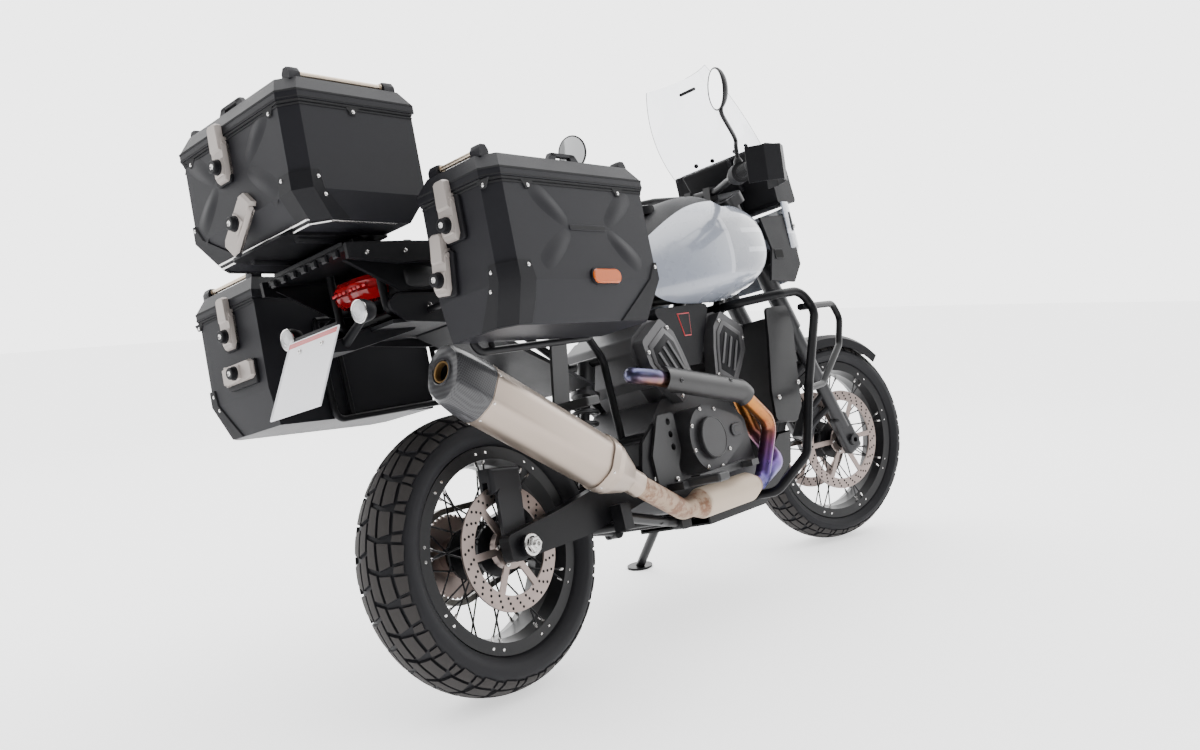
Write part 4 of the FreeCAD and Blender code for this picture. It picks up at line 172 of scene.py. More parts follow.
def floor():
    radius, segments = 14.0, 96
    mesh = bpy.data.meshes.new("floor")
    bm = bmesh.new()
    bmesh.ops.create_circle(bm, cap_ends=True, segments=segments, radius=radius)
    bm.to_mesh(mesh)
    bm.free()
    plane = bpy.data.objects.new("floor", mesh)
    bpy.context.collection.objects.link(plane)
    surface = finish("studio_floor", (0.93, 0.93, 0.935), 0.7, mottle=0.004, mottle_size=3)
    shader = surface.node_tree.nodes["Principled BSDF"]
    shader.inputs["Emission Color"].default_value = (1, 1, 1, 1)
    shader.inputs["Emission Strength"].default_value = 1.0
    mesh.materials.append(surface)


# Materials

FINISH = {}
DARK, DARK_SPECULAR, PLAIN_SPECULAR = 0.06, 0.22, 0.5


def node(tree, kind, **values):
    """Node with its inputs, or else its settings, given by name."""
    made = tree.nodes.new(kind)
    for key, value in values.items():
        if key in made.inputs:
            made.inputs[key].default_value = value
        else:
            setattr(made, key, value)
    return made


def mapped_range(tree, value, source=(0.0, 1.0), target=(0.0, 1.0), **settings):
    """Output that runs over the target while value runs over the source."""
    made = node(tree, "ShaderNodeMapRange", **settings)
    made.inputs["From Min"].default_value, made.inputs["From Max"].default_value = source
    made.inputs["To Min"].default_value, made.inputs["To Max"].default_value = target
    tree.links.new(value, made.inputs["Value"])
    return made.outputs["Result"]


def noise(tree, place, size, detail, roughness=0.5):
    """Noise texture over the places of a vector output."""
    made = node(tree, "ShaderNodeTexNoise", Scale=size, Detail=detail, Roughness=roughness)
    tree.links.new(place, made.inputs["Vector"])
    return made


def mixed(tree, share, first, second, **settings):
    """Colour between two, each a socket or a colour, by a share that is a socket or a number."""
    made = node(tree, "ShaderNodeMix", data_type="RGBA", **settings)
    for index, value in ((0, share), (6, first), (7, second)):
        if isinstance(value, bpy.types.NodeSocket):
            tree.links.new(value, made.inputs[index])
        else:
            made.inputs[index].default_value = value
    return made.outputs[2]


def measure(tree, first, operation, second=None, third=None):
    """Math node on up to three inputs, each a socket or a number."""
    made = node(tree, "ShaderNodeMath", operation=operation)
    for index, value in enumerate((first, second, third)):
        if isinstance(value, (int, float)):
            made.inputs[index].default_value = value
        elif value is not None:
            tree.links.new(value, made.inputs[index])
    return made.outputs[0]


def shaded(colour, share):
    return tuple(min(1.0, c * share) for c in colour) + (1,)


def finish(name, colour, roughness, metallic=0.0, mottle=0.1, mottle_size=14.0, grain=0.15,
           grain_size=420.0, spread=0.08, coat=0.0, coat_roughness=0.08, specular=None):
    """Surface with uneven colour, uneven gloss and a fine grain, kept in FINISH under its name."""
    made = bpy.data.materials.new(name)
    made.use_nodes = True
    tree = made.node_tree
    shader = tree.nodes["Principled BSDF"]
    if specular is None:
        specular = DARK_SPECULAR if max(colour) < DARK and not metallic else PLAIN_SPECULAR
    shader.inputs["Metallic"].default_value = metallic
    shader.inputs["Specular IOR Level"].default_value = specular
    shader.inputs["Coat Weight"].default_value = coat
    shader.inputs["Coat Roughness"].default_value = coat_roughness
    place = node(tree, "ShaderNodeTexCoord").outputs["Object"]
    cloud = noise(tree, place, mottle_size, 6.0, 0.6).outputs["Fac"]
    base = mixed(tree, cloud, shaded(colour, 1 - mottle), shaded(colour, 1 + mottle))
    tree.links.new(base, shader.inputs["Base Color"])
    ends = (max(0.02, roughness - spread), min(1.0, roughness + spread))
    tree.links.new(mapped_range(tree, cloud, target=ends), shader.inputs["Roughness"])
    bump = node(tree, "ShaderNodeBump", Strength=grain, Distance=0.0004)
    tree.links.new(noise(tree, place, grain_size, 3.0).outputs["Fac"], bump.inputs["Height"])
    tree.links.new(bump.outputs["Normal"], shader.inputs["Normal"])
    FINISH[name] = made
    return made


def bike_places(tree):
    """Output with the place on the upright motorcycle, and the node that splits it."""
    turn = STANCE.inverted()
    place = node(tree, "ShaderNodeMapping", Location=turn.translation, Rotation=turn.to_euler("XYZ"))
    tree.links.new(node(tree, "ShaderNodeTexCoord").outputs["Object"], place.inputs["Vector"])
    split = node(tree, "ShaderNodeSeparateXYZ")
    tree.links.new(place.outputs["Vector"], split.inputs["Vector"])
    return place.outputs["Vector"], split.outputs


def painted_over(tree, mask, colour):
    """Lays a second colour over a material where mask is one."""
    under = next(link.from_socket for link in tree.links if link.to_socket.name == "Base Color")
    over = mixed(tree, mask, under, colour + (1,))
    tree.links.new(over, tree.nodes["Principled BSDF"].inputs["Base Color"])


def band_mask(tree, value, low, high, soft=0.0015):
    """One between low and high, with soft edges."""
    rise = mapped_range(tree, value, (low - soft, low))
    fall = mapped_range(tree, value, (high, high + soft), (1.0, 0.0))
    return measure(tree, rise, "MULTIPLY", fall)


def tank_paint():
    """Gloss light grey with a darker panel and plain light bars ahead of it."""
    grey, panel, light = (0.30, 0.325, 0.385), (0.215, 0.232, 0.275), (0.47, 0.49, 0.55)
    panel_low, panel_high, front, lean = 0.87, 1.035, 1.3, -0.18
    tree = finish("body_paint", grey, 0.28, mottle=0.02, grain=0.02, coat=1.0, coat_roughness=0.04).node_tree
    place, split = bike_places(tree)
    slanted = measure(tree, split["Z"], "MULTIPLY_ADD", lean, split["X"])
    for start, end, low, high, soft, colour in (
            (0.79, front, panel_low, panel_high, 0.002, panel), (0.86, front, 0.985, 0.998, 0.0015, light),
            (0.875, front, 0.925, 0.938, 0.0015, light), (0.785, 0.80, panel_low, panel_high, 0.0015, light)):
        along = band_mask(tree, slanted, start, end, soft)
        painted_over(tree, measure(tree, along, "MULTIPLY", band_mask(tree, split["Z"], low, high)), colour)


def header_metal():
    """Steel pipe with heat colours from blue over purple and straw back to blue, set by height."""
    tree = finish("hot_pipe", (0.5, 0.2, 0.05), 0.3, metallic=0.9, mottle=0.18, mottle_size=30,
                  grain=0.05).node_tree
    place, split = bike_places(tree)
    cool_end, hot_end, waviness, speckle = 0.30, 0.66, 0.05, 0.35
    waves = noise(tree, place, 18.0, 4.0).outputs["Fac"]
    shifted = measure(tree, waves, "MULTIPLY_ADD", waviness, split["Z"])
    ramp = node(tree, "ShaderNodeValToRGB")
    stops = (
        (0.0, (0.13, 0.13, 0.33)), (0.14, (0.15, 0.08, 0.30)), (0.3, (0.20, 0.07, 0.16)),
        (0.42, (0.36, 0.13, 0.06)), (0.62, (0.50, 0.20, 0.045)), (0.84, (0.42, 0.17, 0.05)),
        (1.0, (0.12, 0.12, 0.22)))
    elements = ramp.color_ramp.elements
    elements[0].color, elements[1].color = stops[0][1] + (1,), stops[-1][1] + (1,)
    for position, colour in stops[1:-1]:
        elements.new(position).color = colour + (1,)
    tree.links.new(mapped_range(tree, shifted, (cool_end, hot_end)), ramp.inputs["Fac"])
    speck = noise(tree, place, 60.0, 5.0).outputs["Color"]
    base = mixed(tree, speckle, ramp.outputs["Color"], speck, blend_type="MULTIPLY")
    tree.links.new(base, tree.nodes["Principled BSDF"].inputs["Base Color"])


def rusty_metal():
    """Steel pipe browned by heat, with worn spots, and pale along the catalyst's can."""
    can_back, can_front = 0.600, 0.846
    tree = finish("link_pipe", (0.20, 0.105, 0.065), 0.55, metallic=0.55, mottle=0.35, mottle_size=22,
                  grain=0.3).node_tree
    place, split = bike_places(tree)
    wear = noise(tree, place, 26.0, 8.0, 0.7).outputs["Fac"]
    painted_over(tree, band_mask(tree, wear, 0.55, 1.0, 0.12), (0.34, 0.25, 0.18))
    painted_over(tree, band_mask(tree, split["X"], can_back, can_front, 0.004), (0.47, 0.385, 0.30))


def carbon_weave():
    """Dark twill under clear coat."""
    waves, strength = 900.0, 0.55
    tree = finish("muffler_end", (0.028, 0.028, 0.030), 0.34, mottle=0.12, grain=0.04, coat=0.5,
                  coat_roughness=0.15).node_tree
    place, split = bike_places(tree)
    tows = []
    for axis in "XZ":
        total = measure(tree, split[axis], "ADD", split["Y"])
        tows.append(measure(tree, measure(tree, total, "MULTIPLY", waves), "SINE"))
    mask = band_mask(tree, measure(tree, tows[0], "MULTIPLY", tows[1]), 0.0, 2.0, 0.2)
    painted_over(tree, measure(tree, mask, "MULTIPLY", strength), (0.075, 0.075, 0.08))


def glass(name, colour, roughness, ior, weight=1.0):
    tree = finish(name, colour, roughness, mottle=0.01, grain=0.0, spread=0.01).node_tree
    shader = tree.nodes["Principled BSDF"]
    shader.inputs["Transmission Weight"].default_value = weight
    shader.inputs["IOR"].default_value = ior


def finishes():
    """Every finish; those of the CAD nodes carry the names of their slots."""
    black = dict(specular=0.16)
    finish("black_frame", (0.006, 0.006, 0.007), 0.36, mottle=0.12, grain=0.12, grain_size=700, **black)
    finish("engine_case", (0.024, 0.0235, 0.026), 0.44, metallic=0.3, grain=0.22, grain_size=520)
    finish("cylinder_metal", (0.070, 0.069, 0.072), 0.44, metallic=0.45, grain=0.2, grain_size=520)
    finish("dark_plastic", (0.006, 0.006, 0.0075), 0.52, mottle=0.15, grain=0.35, grain_size=800, **black)
    finish("radiator_metal", (0.02, 0.02, 0.022), 0.5, metallic=0.3)
    finish("heat_shield", (0.014, 0.0135, 0.014), 0.40, metallic=0.2, mottle=0.12)
    finish("muffler_metal", (0.37, 0.305, 0.255), 0.36, metallic=0.85, mottle=0.07, mottle_size=8, grain=0.12)
    finish("seat_skin", (0.014, 0.014, 0.015), 0.55, grain=0.5, grain_size=520)
    finish("plate_white", (0.80, 0.80, 0.84), 0.32, mottle=0.01, coat=0.3)
    finish("case_black", (0.011, 0.011, 0.0135), 0.46, mottle_size=5, grain=0.3, grain_size=1500, **black)
    finish("latch_metal", (0.34, 0.305, 0.285), 0.48, metallic=0.35, mottle=0.08, grain=0.3, grain_size=900)
    finish("spring_metal", (0.03, 0.03, 0.032), 0.35, metallic=0.2)
    finish("chain_steel", (0.12, 0.115, 0.105), 0.4, metallic=0.9, mottle=0.25, mottle_size=60)
    finish("caliper_metal", (0.016, 0.016, 0.018), 0.42, grain=0.35, grain_size=600)
    finish("disc_steel", (0.30, 0.245, 0.225), 0.34, metallic=0.9, mottle=0.12, mottle_size=30, grain=0.2)
    finish("foot_metal", (0.022, 0.022, 0.023), 0.45, metallic=0.3, mottle=0.2)
    finish("rim_black", (0.007, 0.007, 0.008), 0.36, specular=0.2, coat=0.12, coat_roughness=0.25)
    finish("fork_metal", (0.02, 0.02, 0.022), 0.36, metallic=0.3)
    finish("bar_metal", (0.015, 0.015, 0.016), 0.38)
    finish("grip_rubber", (0.016, 0.016, 0.017), 0.75, grain=0.6, grain_size=500)
    finish("mirror_shell", (0.015, 0.015, 0.016), 0.42)
    finish("tyre_rubber", (0.010, 0.010, 0.012), 0.62, mottle=0.25, mottle_size=9, grain=0.25, grain_size=300)
    finish("tread_top", (0.034, 0.031, 0.030), 0.72, mottle=0.2, mottle_size=24, grain=0.5, grain_size=620)
    finish("bright_steel", (0.62, 0.61, 0.60), 0.22, metallic=1.0, mottle=0.06, grain=0.05)
    finish("champagne_metal", (0.56, 0.47, 0.37), 0.32, metallic=0.9, mottle=0.06, grain=0.1)
    finish("red_enamel", (0.50, 0.012, 0.018), 0.35, mottle=0.05, coat=0.3)
    finish("gold_ring", (0.36, 0.22, 0.09), 0.35, metallic=0.9, mottle=0.15)
    # Near-black finish: real soot inside the silencer's outlet, and painted shade in the disc holes and the bridge
    # panels' windows.
    finish("soot", (0.006, 0.006, 0.006), 0.85, mottle=0.3)
    finish("derby_cover", (0.020, 0.0195, 0.021), 0.46, metallic=0.2, mottle=0.08, grain=0.2)
    finish("mirror_silver", (0.86, 0.87, 0.88), 0.04, metallic=1.0, mottle=0.01, grain=0.0, spread=0.01)
    glass("amber_lens", (0.60, 0.11, 0.004), 0.12, 1.45, 0.25)
    glass("red_lens", (0.30, 0.006, 0.009), 0.08, 1.45, 0.30)
    glass("clear_lens", (0.92, 0.93, 0.95), 0.06, 1.45, 0.55)
    glass("screen_clear", (0.90, 0.91, 0.935), 0.02, 1.3)
    tank_paint()
    header_metal()
    rusty_metal()
    carbon_weave()


def dress_cad():
    """Gives each CAD node the finish of its slot."""
    slots = {part["node"]: part["material_slot"] for part in frame["record"]["subparts"]}
    for name, shape in frame["nodes"].items():
        shape.data.materials.clear()
        shape.data.materials.append(FINISH[slots[name]])
        round_shade(shape)


def round_shade(shape, angle=math.radians(32)):
    """Smooth shading up to an angle, sharp beyond it."""
    edges = shape.data.attributes.get("sharp_edge")
    if edges is None:
        edges = shape.data.attributes.new("sharp_edge", "BOOLEAN", "EDGE")
    bm = bmesh.new()
    bm.from_mesh(shape.data)
    sharp = [len(e.link_faces) != 2 or e.calc_face_angle(0) > angle for e in bm.edges]
    bm.free()
    edges.data.foreach_set("value", sharp)
    shape.data.polygons.foreach_set("use_smooth", [True] * len(shape.data.polygons))
    shape.data.update()


# Building pieces

def add_piece(name, bm, finishes, body="chassis", place=None, smooth=True, instead_of=()):
    """Piece from a bmesh; finishes are names with spaces between, taken in order as its materials."""
    names = finishes.split()
    mesh = bpy.data.meshes.new(name)
    bmesh.ops.transform(bm, matrix=STANCE if place is None else place, verts=bm.verts)
    bmesh.ops.recalc_face_normals(bm, faces=bm.faces)
    bm.to_mesh(mesh)
    bm.free()
    for finish_name in names:
        mesh.materials.append(FINISH[finish_name])
    made = bpy.data.objects.new(name, mesh)
    bpy.context.collection.objects.link(made)
    if smooth:
        round_shade(made)
    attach(made, body)
    for node_name in instead_of:
        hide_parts(node_name)


def around(centre, reach, turn, y=0.0):
    """Point at a reach and a turn about a line along Y."""
    return centre + Vector((reach * math.cos(turn), y, reach * math.sin(turn)))


def ring(bm, points):
    return [bm.verts.new(p) for p in points]


def bridge(bm, first, second, material=0, closed=True):
    count = len(first)
    for index in range(count if closed else count - 1):
        following = (index + 1) % count
        face = bm.faces.new((first[index], first[following], second[following], second[index]))
        face.material_index = material


def loft(bm, loops, material=0, closed=True, ends=True):
    """Skin over loops of points or vertices, closed by a face at either end."""
    loops = [loop if isinstance(loop[0], bmesh.types.BMVert) else ring(bm, loop) for loop in loops]
    for first, second in zip(loops, loops[1:]):
        bridge(bm, first, second, material, closed)
    for loop in (loops[0], loops[-1]) if ends else ():
        bm.faces.new(loop).material_index = material
    return loops


def lathe(bm, profile, matrix, segments=24, materials=None, closed=False):
    """Revolves (radius, height) points about the local Z of a matrix."""
    rings = []
    for radius, height in profile:
        turns = [2 * math.pi * k / segments for k in range(segments)] if radius else [0]
        rings.append(ring(bm, [
            matrix @ Vector((radius * math.cos(turn), radius * math.sin(turn), height)) for turn in turns]))
    pairs = list(zip(rings, rings[1:]))
    if closed:
        pairs.append((rings[-1], rings[0]))
    for number, (first, second) in enumerate(pairs):
        material = materials[number] if materials else 0
        if len(first) == len(second) == segments:
            bridge(bm, first, second, material)
            continue
        hub, loop = (first[0], second) if len(first) == 1 else (second[0], first)
        for k in range(segments):
            bm.faces.new((hub, loop[k], loop[(k + 1) % segments])).material_index = material


def facing(point, direction, spin=None):
    """Matrix with its Z along a direction, at a point."""
    z = Vector(direction).normalized()
    guide = Vector(spin) if spin is not None else (X if abs(z.x) < 0.9 else Z)
    x = (guide - z * guide.dot(z)).normalized()
    return axes(x, z.cross(x), z, point)


def button_head(bm, matrix, radius, height, segments=14):
    """Round bolt head with a hollow for its key."""
    shares = ((0.98, None), (1, 0.35), (0.84, 0.9), (0.5, 1), (0.46, 0.4), (0, 0.35))
    sunk = -0.0015
    lathe(bm, [(radius * a, sunk if b is None else height * b) for a, b in shares], matrix, segments)


def rivet_head(bm, matrix):
    radius, height, sunk = 0.0030, 0.0014, -0.0006
    profile = [(radius, sunk), (radius * 0.94, height * 0.5), (radius * 0.6, height * 0.9), (0, height)]
    lathe(bm, profile, matrix, 10)


def cast(point, direction, names):
    """First place where a line meets the named nodes, and the outward normal there."""
    start = STANCE @ Vector(point)
    way = (STANCE.to_3x3() @ Vector(direction)).normalized()
    hits = [frame["nodes"][name].ray_cast(start, way) for name in names]
    hits = [(spot, normal) for hit, spot, normal, _ in hits if hit]
    if not hits:
        return None
    spot, normal = min(hits, key=lambda found: (found[0] - start).length)
    back = STANCE.inverted()
    normal = back.to_3x3() @ normal
    return back @ spot, (-normal if normal.dot(Vector(direction)) > 0 else normal).normalized()


def seated_heads(name, seats, radius, height, finishes, body="chassis"):
    """Bolt heads, each seated where the line from a point meets one of the named nodes."""
    bm = bmesh.new()
    for point, direction, names in seats:
        found = cast(point, direction, names)
        if found:
            button_head(bm, facing(*found), radius, height)
    add_piece(name, bm, finishes, body)


def bar_between(bm, start, end, radius, segments):
    start, way = Vector(start), Vector(end) - Vector(start)
    length = way.length
    lathe(bm, [(0, 0), (radius, 0), (radius, length), (0, length)], facing(start, way), segments)


def hose(bm, points, radius, segments=12, steps=8):
    """Smooth tube through points."""
    route = []
    last = len(points) - 1
    for k in range(last):
        before, a, b, after = points[max(k - 1, 0)], points[k], points[k + 1], points[min(k + 2, last)]
        for step in range(steps):
            t = step / steps
            route.append(0.5 * ((2 * a) + (b - before) * t + (2 * before - 5 * a + 4 * b - after) * t * t
                                + (3 * a - before - 3 * b + after) * t ** 3))
    route.append(points[-1])
    guide = Vector((0.3, 0.8, 0.5))
    loops = []
    for k, spot in enumerate(route):
        way = (route[min(k + 1, len(route) - 1)] - route[max(k - 1, 0)]).normalized()
        across = way.cross(guide).normalized()
        up = across.cross(way).normalized()
        turns = [2 * math.pi * j / segments for j in range(segments)]
        loops.append([spot + (across * math.cos(turn) + up * math.sin(turn)) * radius for turn in turns])
    loft(bm, loops)


def slab(bm, matrix, length, width, height, bevel):
    """Box with its base centre at the matrix, with chamfered top edges."""
    a, b = length / 2, width / 2
    loft(bm, [[matrix @ Vector(p) for p in (
        (inset - a, inset - b, z), (a - inset, inset - b, z), (a - inset, b - inset, z),
        (inset - a, b - inset, z))]
        for inset, z in ((0, 0), (0, height - bevel), (bevel, height))])


def rounded_slab(bm, matrix, length, width, height, corner, bevel=0.0015, material=0, segments=6):
    """Slab with round corners and a chamfered rim."""
    sunk = -0.001
    loops = []
    for inset, z in ((0, sunk), (0, height - bevel), (bevel, height)):
        loop = []
        for quarter, (cx, cy) in enumerate(((1, 1), (-1, 1), (-1, -1), (1, -1))):
            for k in range(segments + 1):
                angle = math.pi / 2 * (quarter + k / segments)
                loop.append(matrix @ Vector((
                    cx * (length / 2 - corner) + (corner - inset) * math.cos(angle),
                    cy * (width / 2 - corner) + (corner - inset) * math.sin(angle), z)))
        loops.append(loop)
    loft(bm, loops, material)


def polygon_plate(bm, matrix, points, low, high, shrink=0.9, material=0):
    """Plate between two depths whose rim is chamfered; the outline is drawn in X and Z."""
    mid_x, mid_z = (sum(p[i] for p in points) / len(points) for i in (0, 1))
    rim_share = 0.35
    loops = []
    for depth, share in ((low, 1.0), (high - (high - low) * rim_share, 1.0), (high, shrink)):
        loops.append([
            matrix @ Vector((mid_x + (x - mid_x) * share, depth, mid_z + (z - mid_z) * share))
            for x, z in points])
    loft(bm, loops, material)


# Tyres

class Profile:
    """Cross-section of a tyre: v runs from 0 at the crown to 1 at the shoulder and 2 at the bead."""

    def __init__(self, radius, width, crown, bead, bead_width):
        self.radius, self.crown, self.bead = radius, crown, bead
        half = width / 2
        shoulder_y = half * SHOULDER_SHARE
        shoulder_r = radius - crown + math.sqrt(crown ** 2 - shoulder_y ** 2)
        self.half_angle = math.asin(shoulder_y / crown)
        lip = bead + RIM_LIP
        widest = (half, lip + (shoulder_r - lip) * WIDEST_SHARE)
        self.side = circle_through((shoulder_y, shoulder_r), widest, (bead_width / 2, lip))

    def at(self, v):
        """Radius, offset and outward direction at v, for either sign of v."""
        sign = -1 if v < 0 else 1
        v = abs(v)
        if v <= 1:
            angle = v * self.half_angle
            y, r = self.crown * math.sin(angle), self.radius - self.crown + self.crown * math.cos(angle)
            out = (math.sin(angle), math.cos(angle))
        else:
            centre, radius, start, end = self.side
            angle = start + (end - start) * min(v - 1, 1)
            y, r = centre[0] + radius * math.cos(angle), centre[1] + radius * math.sin(angle)
            out = (math.cos(angle), math.sin(angle))
        return r, y * sign, (out[0] * sign, out[1])


def circle_through(a, b, c):
    """Centre, radius and the angles of the first and last of three points."""
    d = 2 * (a[0] * (b[1] - c[1]) + b[0] * (c[1] - a[1]) + c[0] * (a[1] - b[1]))
    squares = [p[0] ** 2 + p[1] ** 2 for p in (a, b, c)]
    x = (squares[0] * (b[1] - c[1]) + squares[1] * (c[1] - a[1]) + squares[2] * (a[1] - b[1])) / d
    y = (squares[0] * (c[0] - b[0]) + squares[1] * (a[0] - c[0]) + squares[2] * (b[0] - a[0])) / d
    radius = math.hypot(a[0] - x, a[1] - y)
    return (x, y), radius, math.atan2(a[1] - y, a[0] - x), math.atan2(c[1] - y, c[0] - x)


def on_tyre(profile, centre, turn, v, lift):
    r, y, out = profile.at(v)
    return around(centre, r + out[1] * lift, turn, y + out[0] * lift)


def tread_block(bm, profile, centre, corners, pitch, start, lift, sink, grid=3, taper=0.035):
    """Four-cornered block: its top follows the crown and its flanks slope down to the groove."""
    def spot(i, j, h, inset):
        a, b = (inset + k / grid * (1 - 2 * inset) for k in (i, j))
        low = [corners[0][n] * (1 - a) + corners[1][n] * a for n in (0, 1)]
        high = [corners[3][n] * (1 - a) + corners[2][n] * a for n in (0, 1)]
        u, v = (low[n] * (1 - b) + high[n] * b for n in (0, 1))
        return on_tyre(profile, centre, start + u * pitch, v, h)

    top = [ring(bm, [spot(i, j, lift, taper) for j in range(grid + 1)]) for i in range(grid + 1)]
    for i in range(grid):
        for j in range(grid):
            bm.faces.new((top[i][j], top[i + 1][j], top[i + 1][j + 1], top[i][j + 1])).material_index = 1
    edge = [(i, 0) for i in range(grid)] + [(grid, j) for j in range(grid)]
    edge += [(i, grid) for i in range(grid, 0, -1)] + [(0, j) for j in range(grid, 0, -1)]
    bridge(bm, [top[i][j] for i, j in edge], ring(bm, [spot(i, j, sink, 0.0) for i, j in edge]))


# Corners of one pitch of tread: share of the pitch around the tyre, then v across it; and their lift.
BLOCK_ROWS = (
    (((0.03, 0.03), (0.93, 0.03), (1.06, 0.33), (0.16, 0.29)), 0.0),
    (((0.20, 0.35), (1.10, 0.39), (0.98, 0.74), (0.24, 0.70)), 0.0),
    (((0.28, 0.77), (0.92, 0.81), (0.86, 1.10), (0.32, 1.14)), -0.0002),
    (((1.0, 0.80), (1.20, 0.76), (1.24, 1.06), (0.96, 1.08)), -0.0008),
)
SIDE_RINGS = ((1.42, 1.47), (1.8, 1.86))


def tyre(end, profile, centre, pitches, depth, place):
    """Carcass with raised rings, and rows of tread blocks on both sides of the crown."""
    bm = bmesh.new()
    segments, stations = 120, 64
    groove_end, groove_fade, ring_lift, block_sink = 1.02, 0.22, 0.0008, 0.001
    turns = [2 * math.pi * k / segments for k in range(segments)]
    loops = []
    for v in (-2 + 4 * k / stations for k in range(stations + 1)):
        share = max(0.0, 1 - max(0.0, abs(v) - groove_end) / groove_fade)
        lift = min(-depth * share, -0.0004)
        if any(low < abs(v) < high for low, high in SIDE_RINGS):
            lift += ring_lift
        loops.append(ring(bm, [on_tyre(profile, centre, turn, v, lift) for turn in turns]))
    inner = [
        ring(bm, [around(centre, profile.bead, turn, profile.at(v)[1]) for turn in turns]) for v in (-2, 2)]
    loops = loft(bm, inner[:1] + loops + inner[1:], ends=False)
    bridge(bm, loops[-1], loops[0])
    pitch = 2 * math.pi / pitches
    for number in range(pitches):
        for corners, raised in BLOCK_ROWS:
            for sign, shift in ((-1, 0.0), (1, 0.5)):
                block = [(u + shift, v * sign) for u, v in corners]
                tread_block(bm, profile, centre, block, pitch, number * pitch, raised, -depth - block_sink)
    add_piece(end + "_tyre_tread", bm, "tyre_rubber tread_top", end + "_wheel", place=place,
              instead_of=(end + "_tyre",))


def tyres():
    rear = Profile(REAR_RADIUS, REAR_WIDTH, REAR_CROWN, REAR_BEAD, REAR_BEAD_WIDTH)
    front = Profile(FRONT_RADIUS, FRONT_WIDTH, FRONT_CROWN, FRONT_BEAD, FRONT_BEAD_WIDTH)
    tyre("rear", rear, REAR_AXLE, 29, 0.0062, STANCE)
    tyre("front", front, FRONT_AXLE, 34, 0.0052, STEERED)


# Wheels, discs and axles

SPOKES, SPOKE_SWEEP = 18, math.radians(34)
RIM_DEPTH, HUB_REACH, HUB_HALF = 0.013, 0.056, 0.03
REAR_DISC_FACE, REAR_DISC_BACK, FRONT_DISC_FACE, FRONT_DISC_BACK = 0.0925, -0.0875, 0.0725, -0.0675


def nipples(end, centre, bead, bead_width, place):
    """Bright nipples where the spokes enter the rim."""
    bm = bmesh.new()
    rim_lift, rim_reach = 0.0068, bead + 0.002
    for side in (-1, 1):
        for number in range(SPOKES):
            start = 2 * math.pi / SPOKES * (number + (side + 1) / 4)
            turn = start + (SPOKE_SWEEP if number % 2 else -SPOKE_SWEEP)
            outer = around(centre, bead - RIM_DEPTH / 2, turn, side * bead_width / 2)
            way = around(centre, HUB_REACH, start, side * HUB_HALF) - outer
            lathe(bm, [(0.0036, 0.002), (0.0036, 0.019), (0.0026, 0.021), (0, 0.021)], facing(outer, way), 8)
            out = around(Y * side, 0.3, turn)
            rim_face = around(centre, rim_reach, turn, side * (bead_width / 2 + rim_lift))
            lathe(bm, [(0.0038, -0.0005), (0.0034, 0.001), (0, 0.0016)], facing(rim_face, out), 8)
    add_piece(end + "_nipples", bm, "bright_steel", end + "_wheel", place)


def wheels():
    nipples("rear", REAR_AXLE, REAR_BEAD, REAR_BEAD_WIDTH, STANCE)
    nipples("front", FRONT_AXLE, FRONT_BEAD, FRONT_BEAD_WIDTH, STEERED)


def hole_marks(bm, centre, face_y, side, radii, count, radius=0.0034):
    """Dark marks on the face of a disc where its drilled holes are: painted shade in place of open holes."""
    profile = [(radius, -0.0003), (radius, 0.0003), (radius * 0.8, 0.0003), (0, 0.0002)]
    for row, distance in enumerate(radii):
        for number in range(count):
            spot = around(centre, distance, 2 * math.pi * (number + row / 4) / count, side * face_y)
            lathe(bm, profile, facing(spot, Y * side), 8)


def bolt_circle(bm, centre, reach, y, side, count, radius, height, first=0.0):
    for number in range(count):
        spot = around(centre, reach, 2 * math.pi * (number + first) / count, y)
        button_head(bm, facing(spot, Y * side), radius, height)


def discs():
    rear_holes, front_holes, rear_bolts, front_bolts = (bmesh.new() for _ in range(4))
    for side, face in ((-1, REAR_DISC_FACE), (1, REAR_DISC_BACK)):
        hole_marks(rear_holes, REAR_AXLE, face, side, (0.111, 0.1215, 0.132), 26)
    bolt_circle(rear_bolts, REAR_AXLE, 0.038, -REAR_DISC_FACE, -1, 5, 0.0068, 0.0048, 0.3)
    for hand in (-1, 1):
        for side, face in ((hand, FRONT_DISC_FACE), (-hand, FRONT_DISC_BACK)):
            hole_marks(front_holes, FRONT_AXLE, face, side, (0.135, 0.1435, 0.152), 30)
        bolt_circle(front_bolts, FRONT_AXLE, 0.039, hand * FRONT_DISC_FACE, hand, 6, 0.0062, 0.004)
    # The drilled holes are drawn as near-black marks: painted shade, not soot.
    add_piece("rear_disc_holes", rear_holes, "soot", "rear_wheel")
    add_piece("front_disc_holes", front_holes, "soot", "front_wheel", STEERED)
    add_piece("rear_disc_bolts", rear_bolts, "bright_steel", "rear_wheel")
    add_piece("front_disc_bolts", front_bolts, "bright_steel", "front_wheel", STEERED)


def axle_ends():
    """Washer, nut and hollow spindle on the right end of the rear axle."""
    found = cast(REAR_AXLE - Y * 0.4, Y, ("swingarm",))
    where = facing(Vector((REAR_AXLE.x, found[0].y, REAR_AXLE.z)), -Y)
    bm = bmesh.new()
    for sides, profile in (
            (28, ((0.0245, -0.002), (0.0245, 0.002), (0.0225, 0.0034), (0.0185, 0.0036))),
            (6, ((0.0185, 0), (0.0185, 0.0125), (0.0160, 0.0150), (0.0105, 0.0150), (0.0100, 0.0060),
                 (0, 0.0060))),
            (20, ((0.0095, 0), (0.0095, 0.0190), (0.0082, 0.0205), (0.0050, 0.0205), (0.0045, 0.0130),
                  (0, 0.0130)))):
        lathe(bm, profile, where, sides)
    add_piece("rear_axle_nut", bm, "bright_steel", body_of("swingarm"))


# Cases

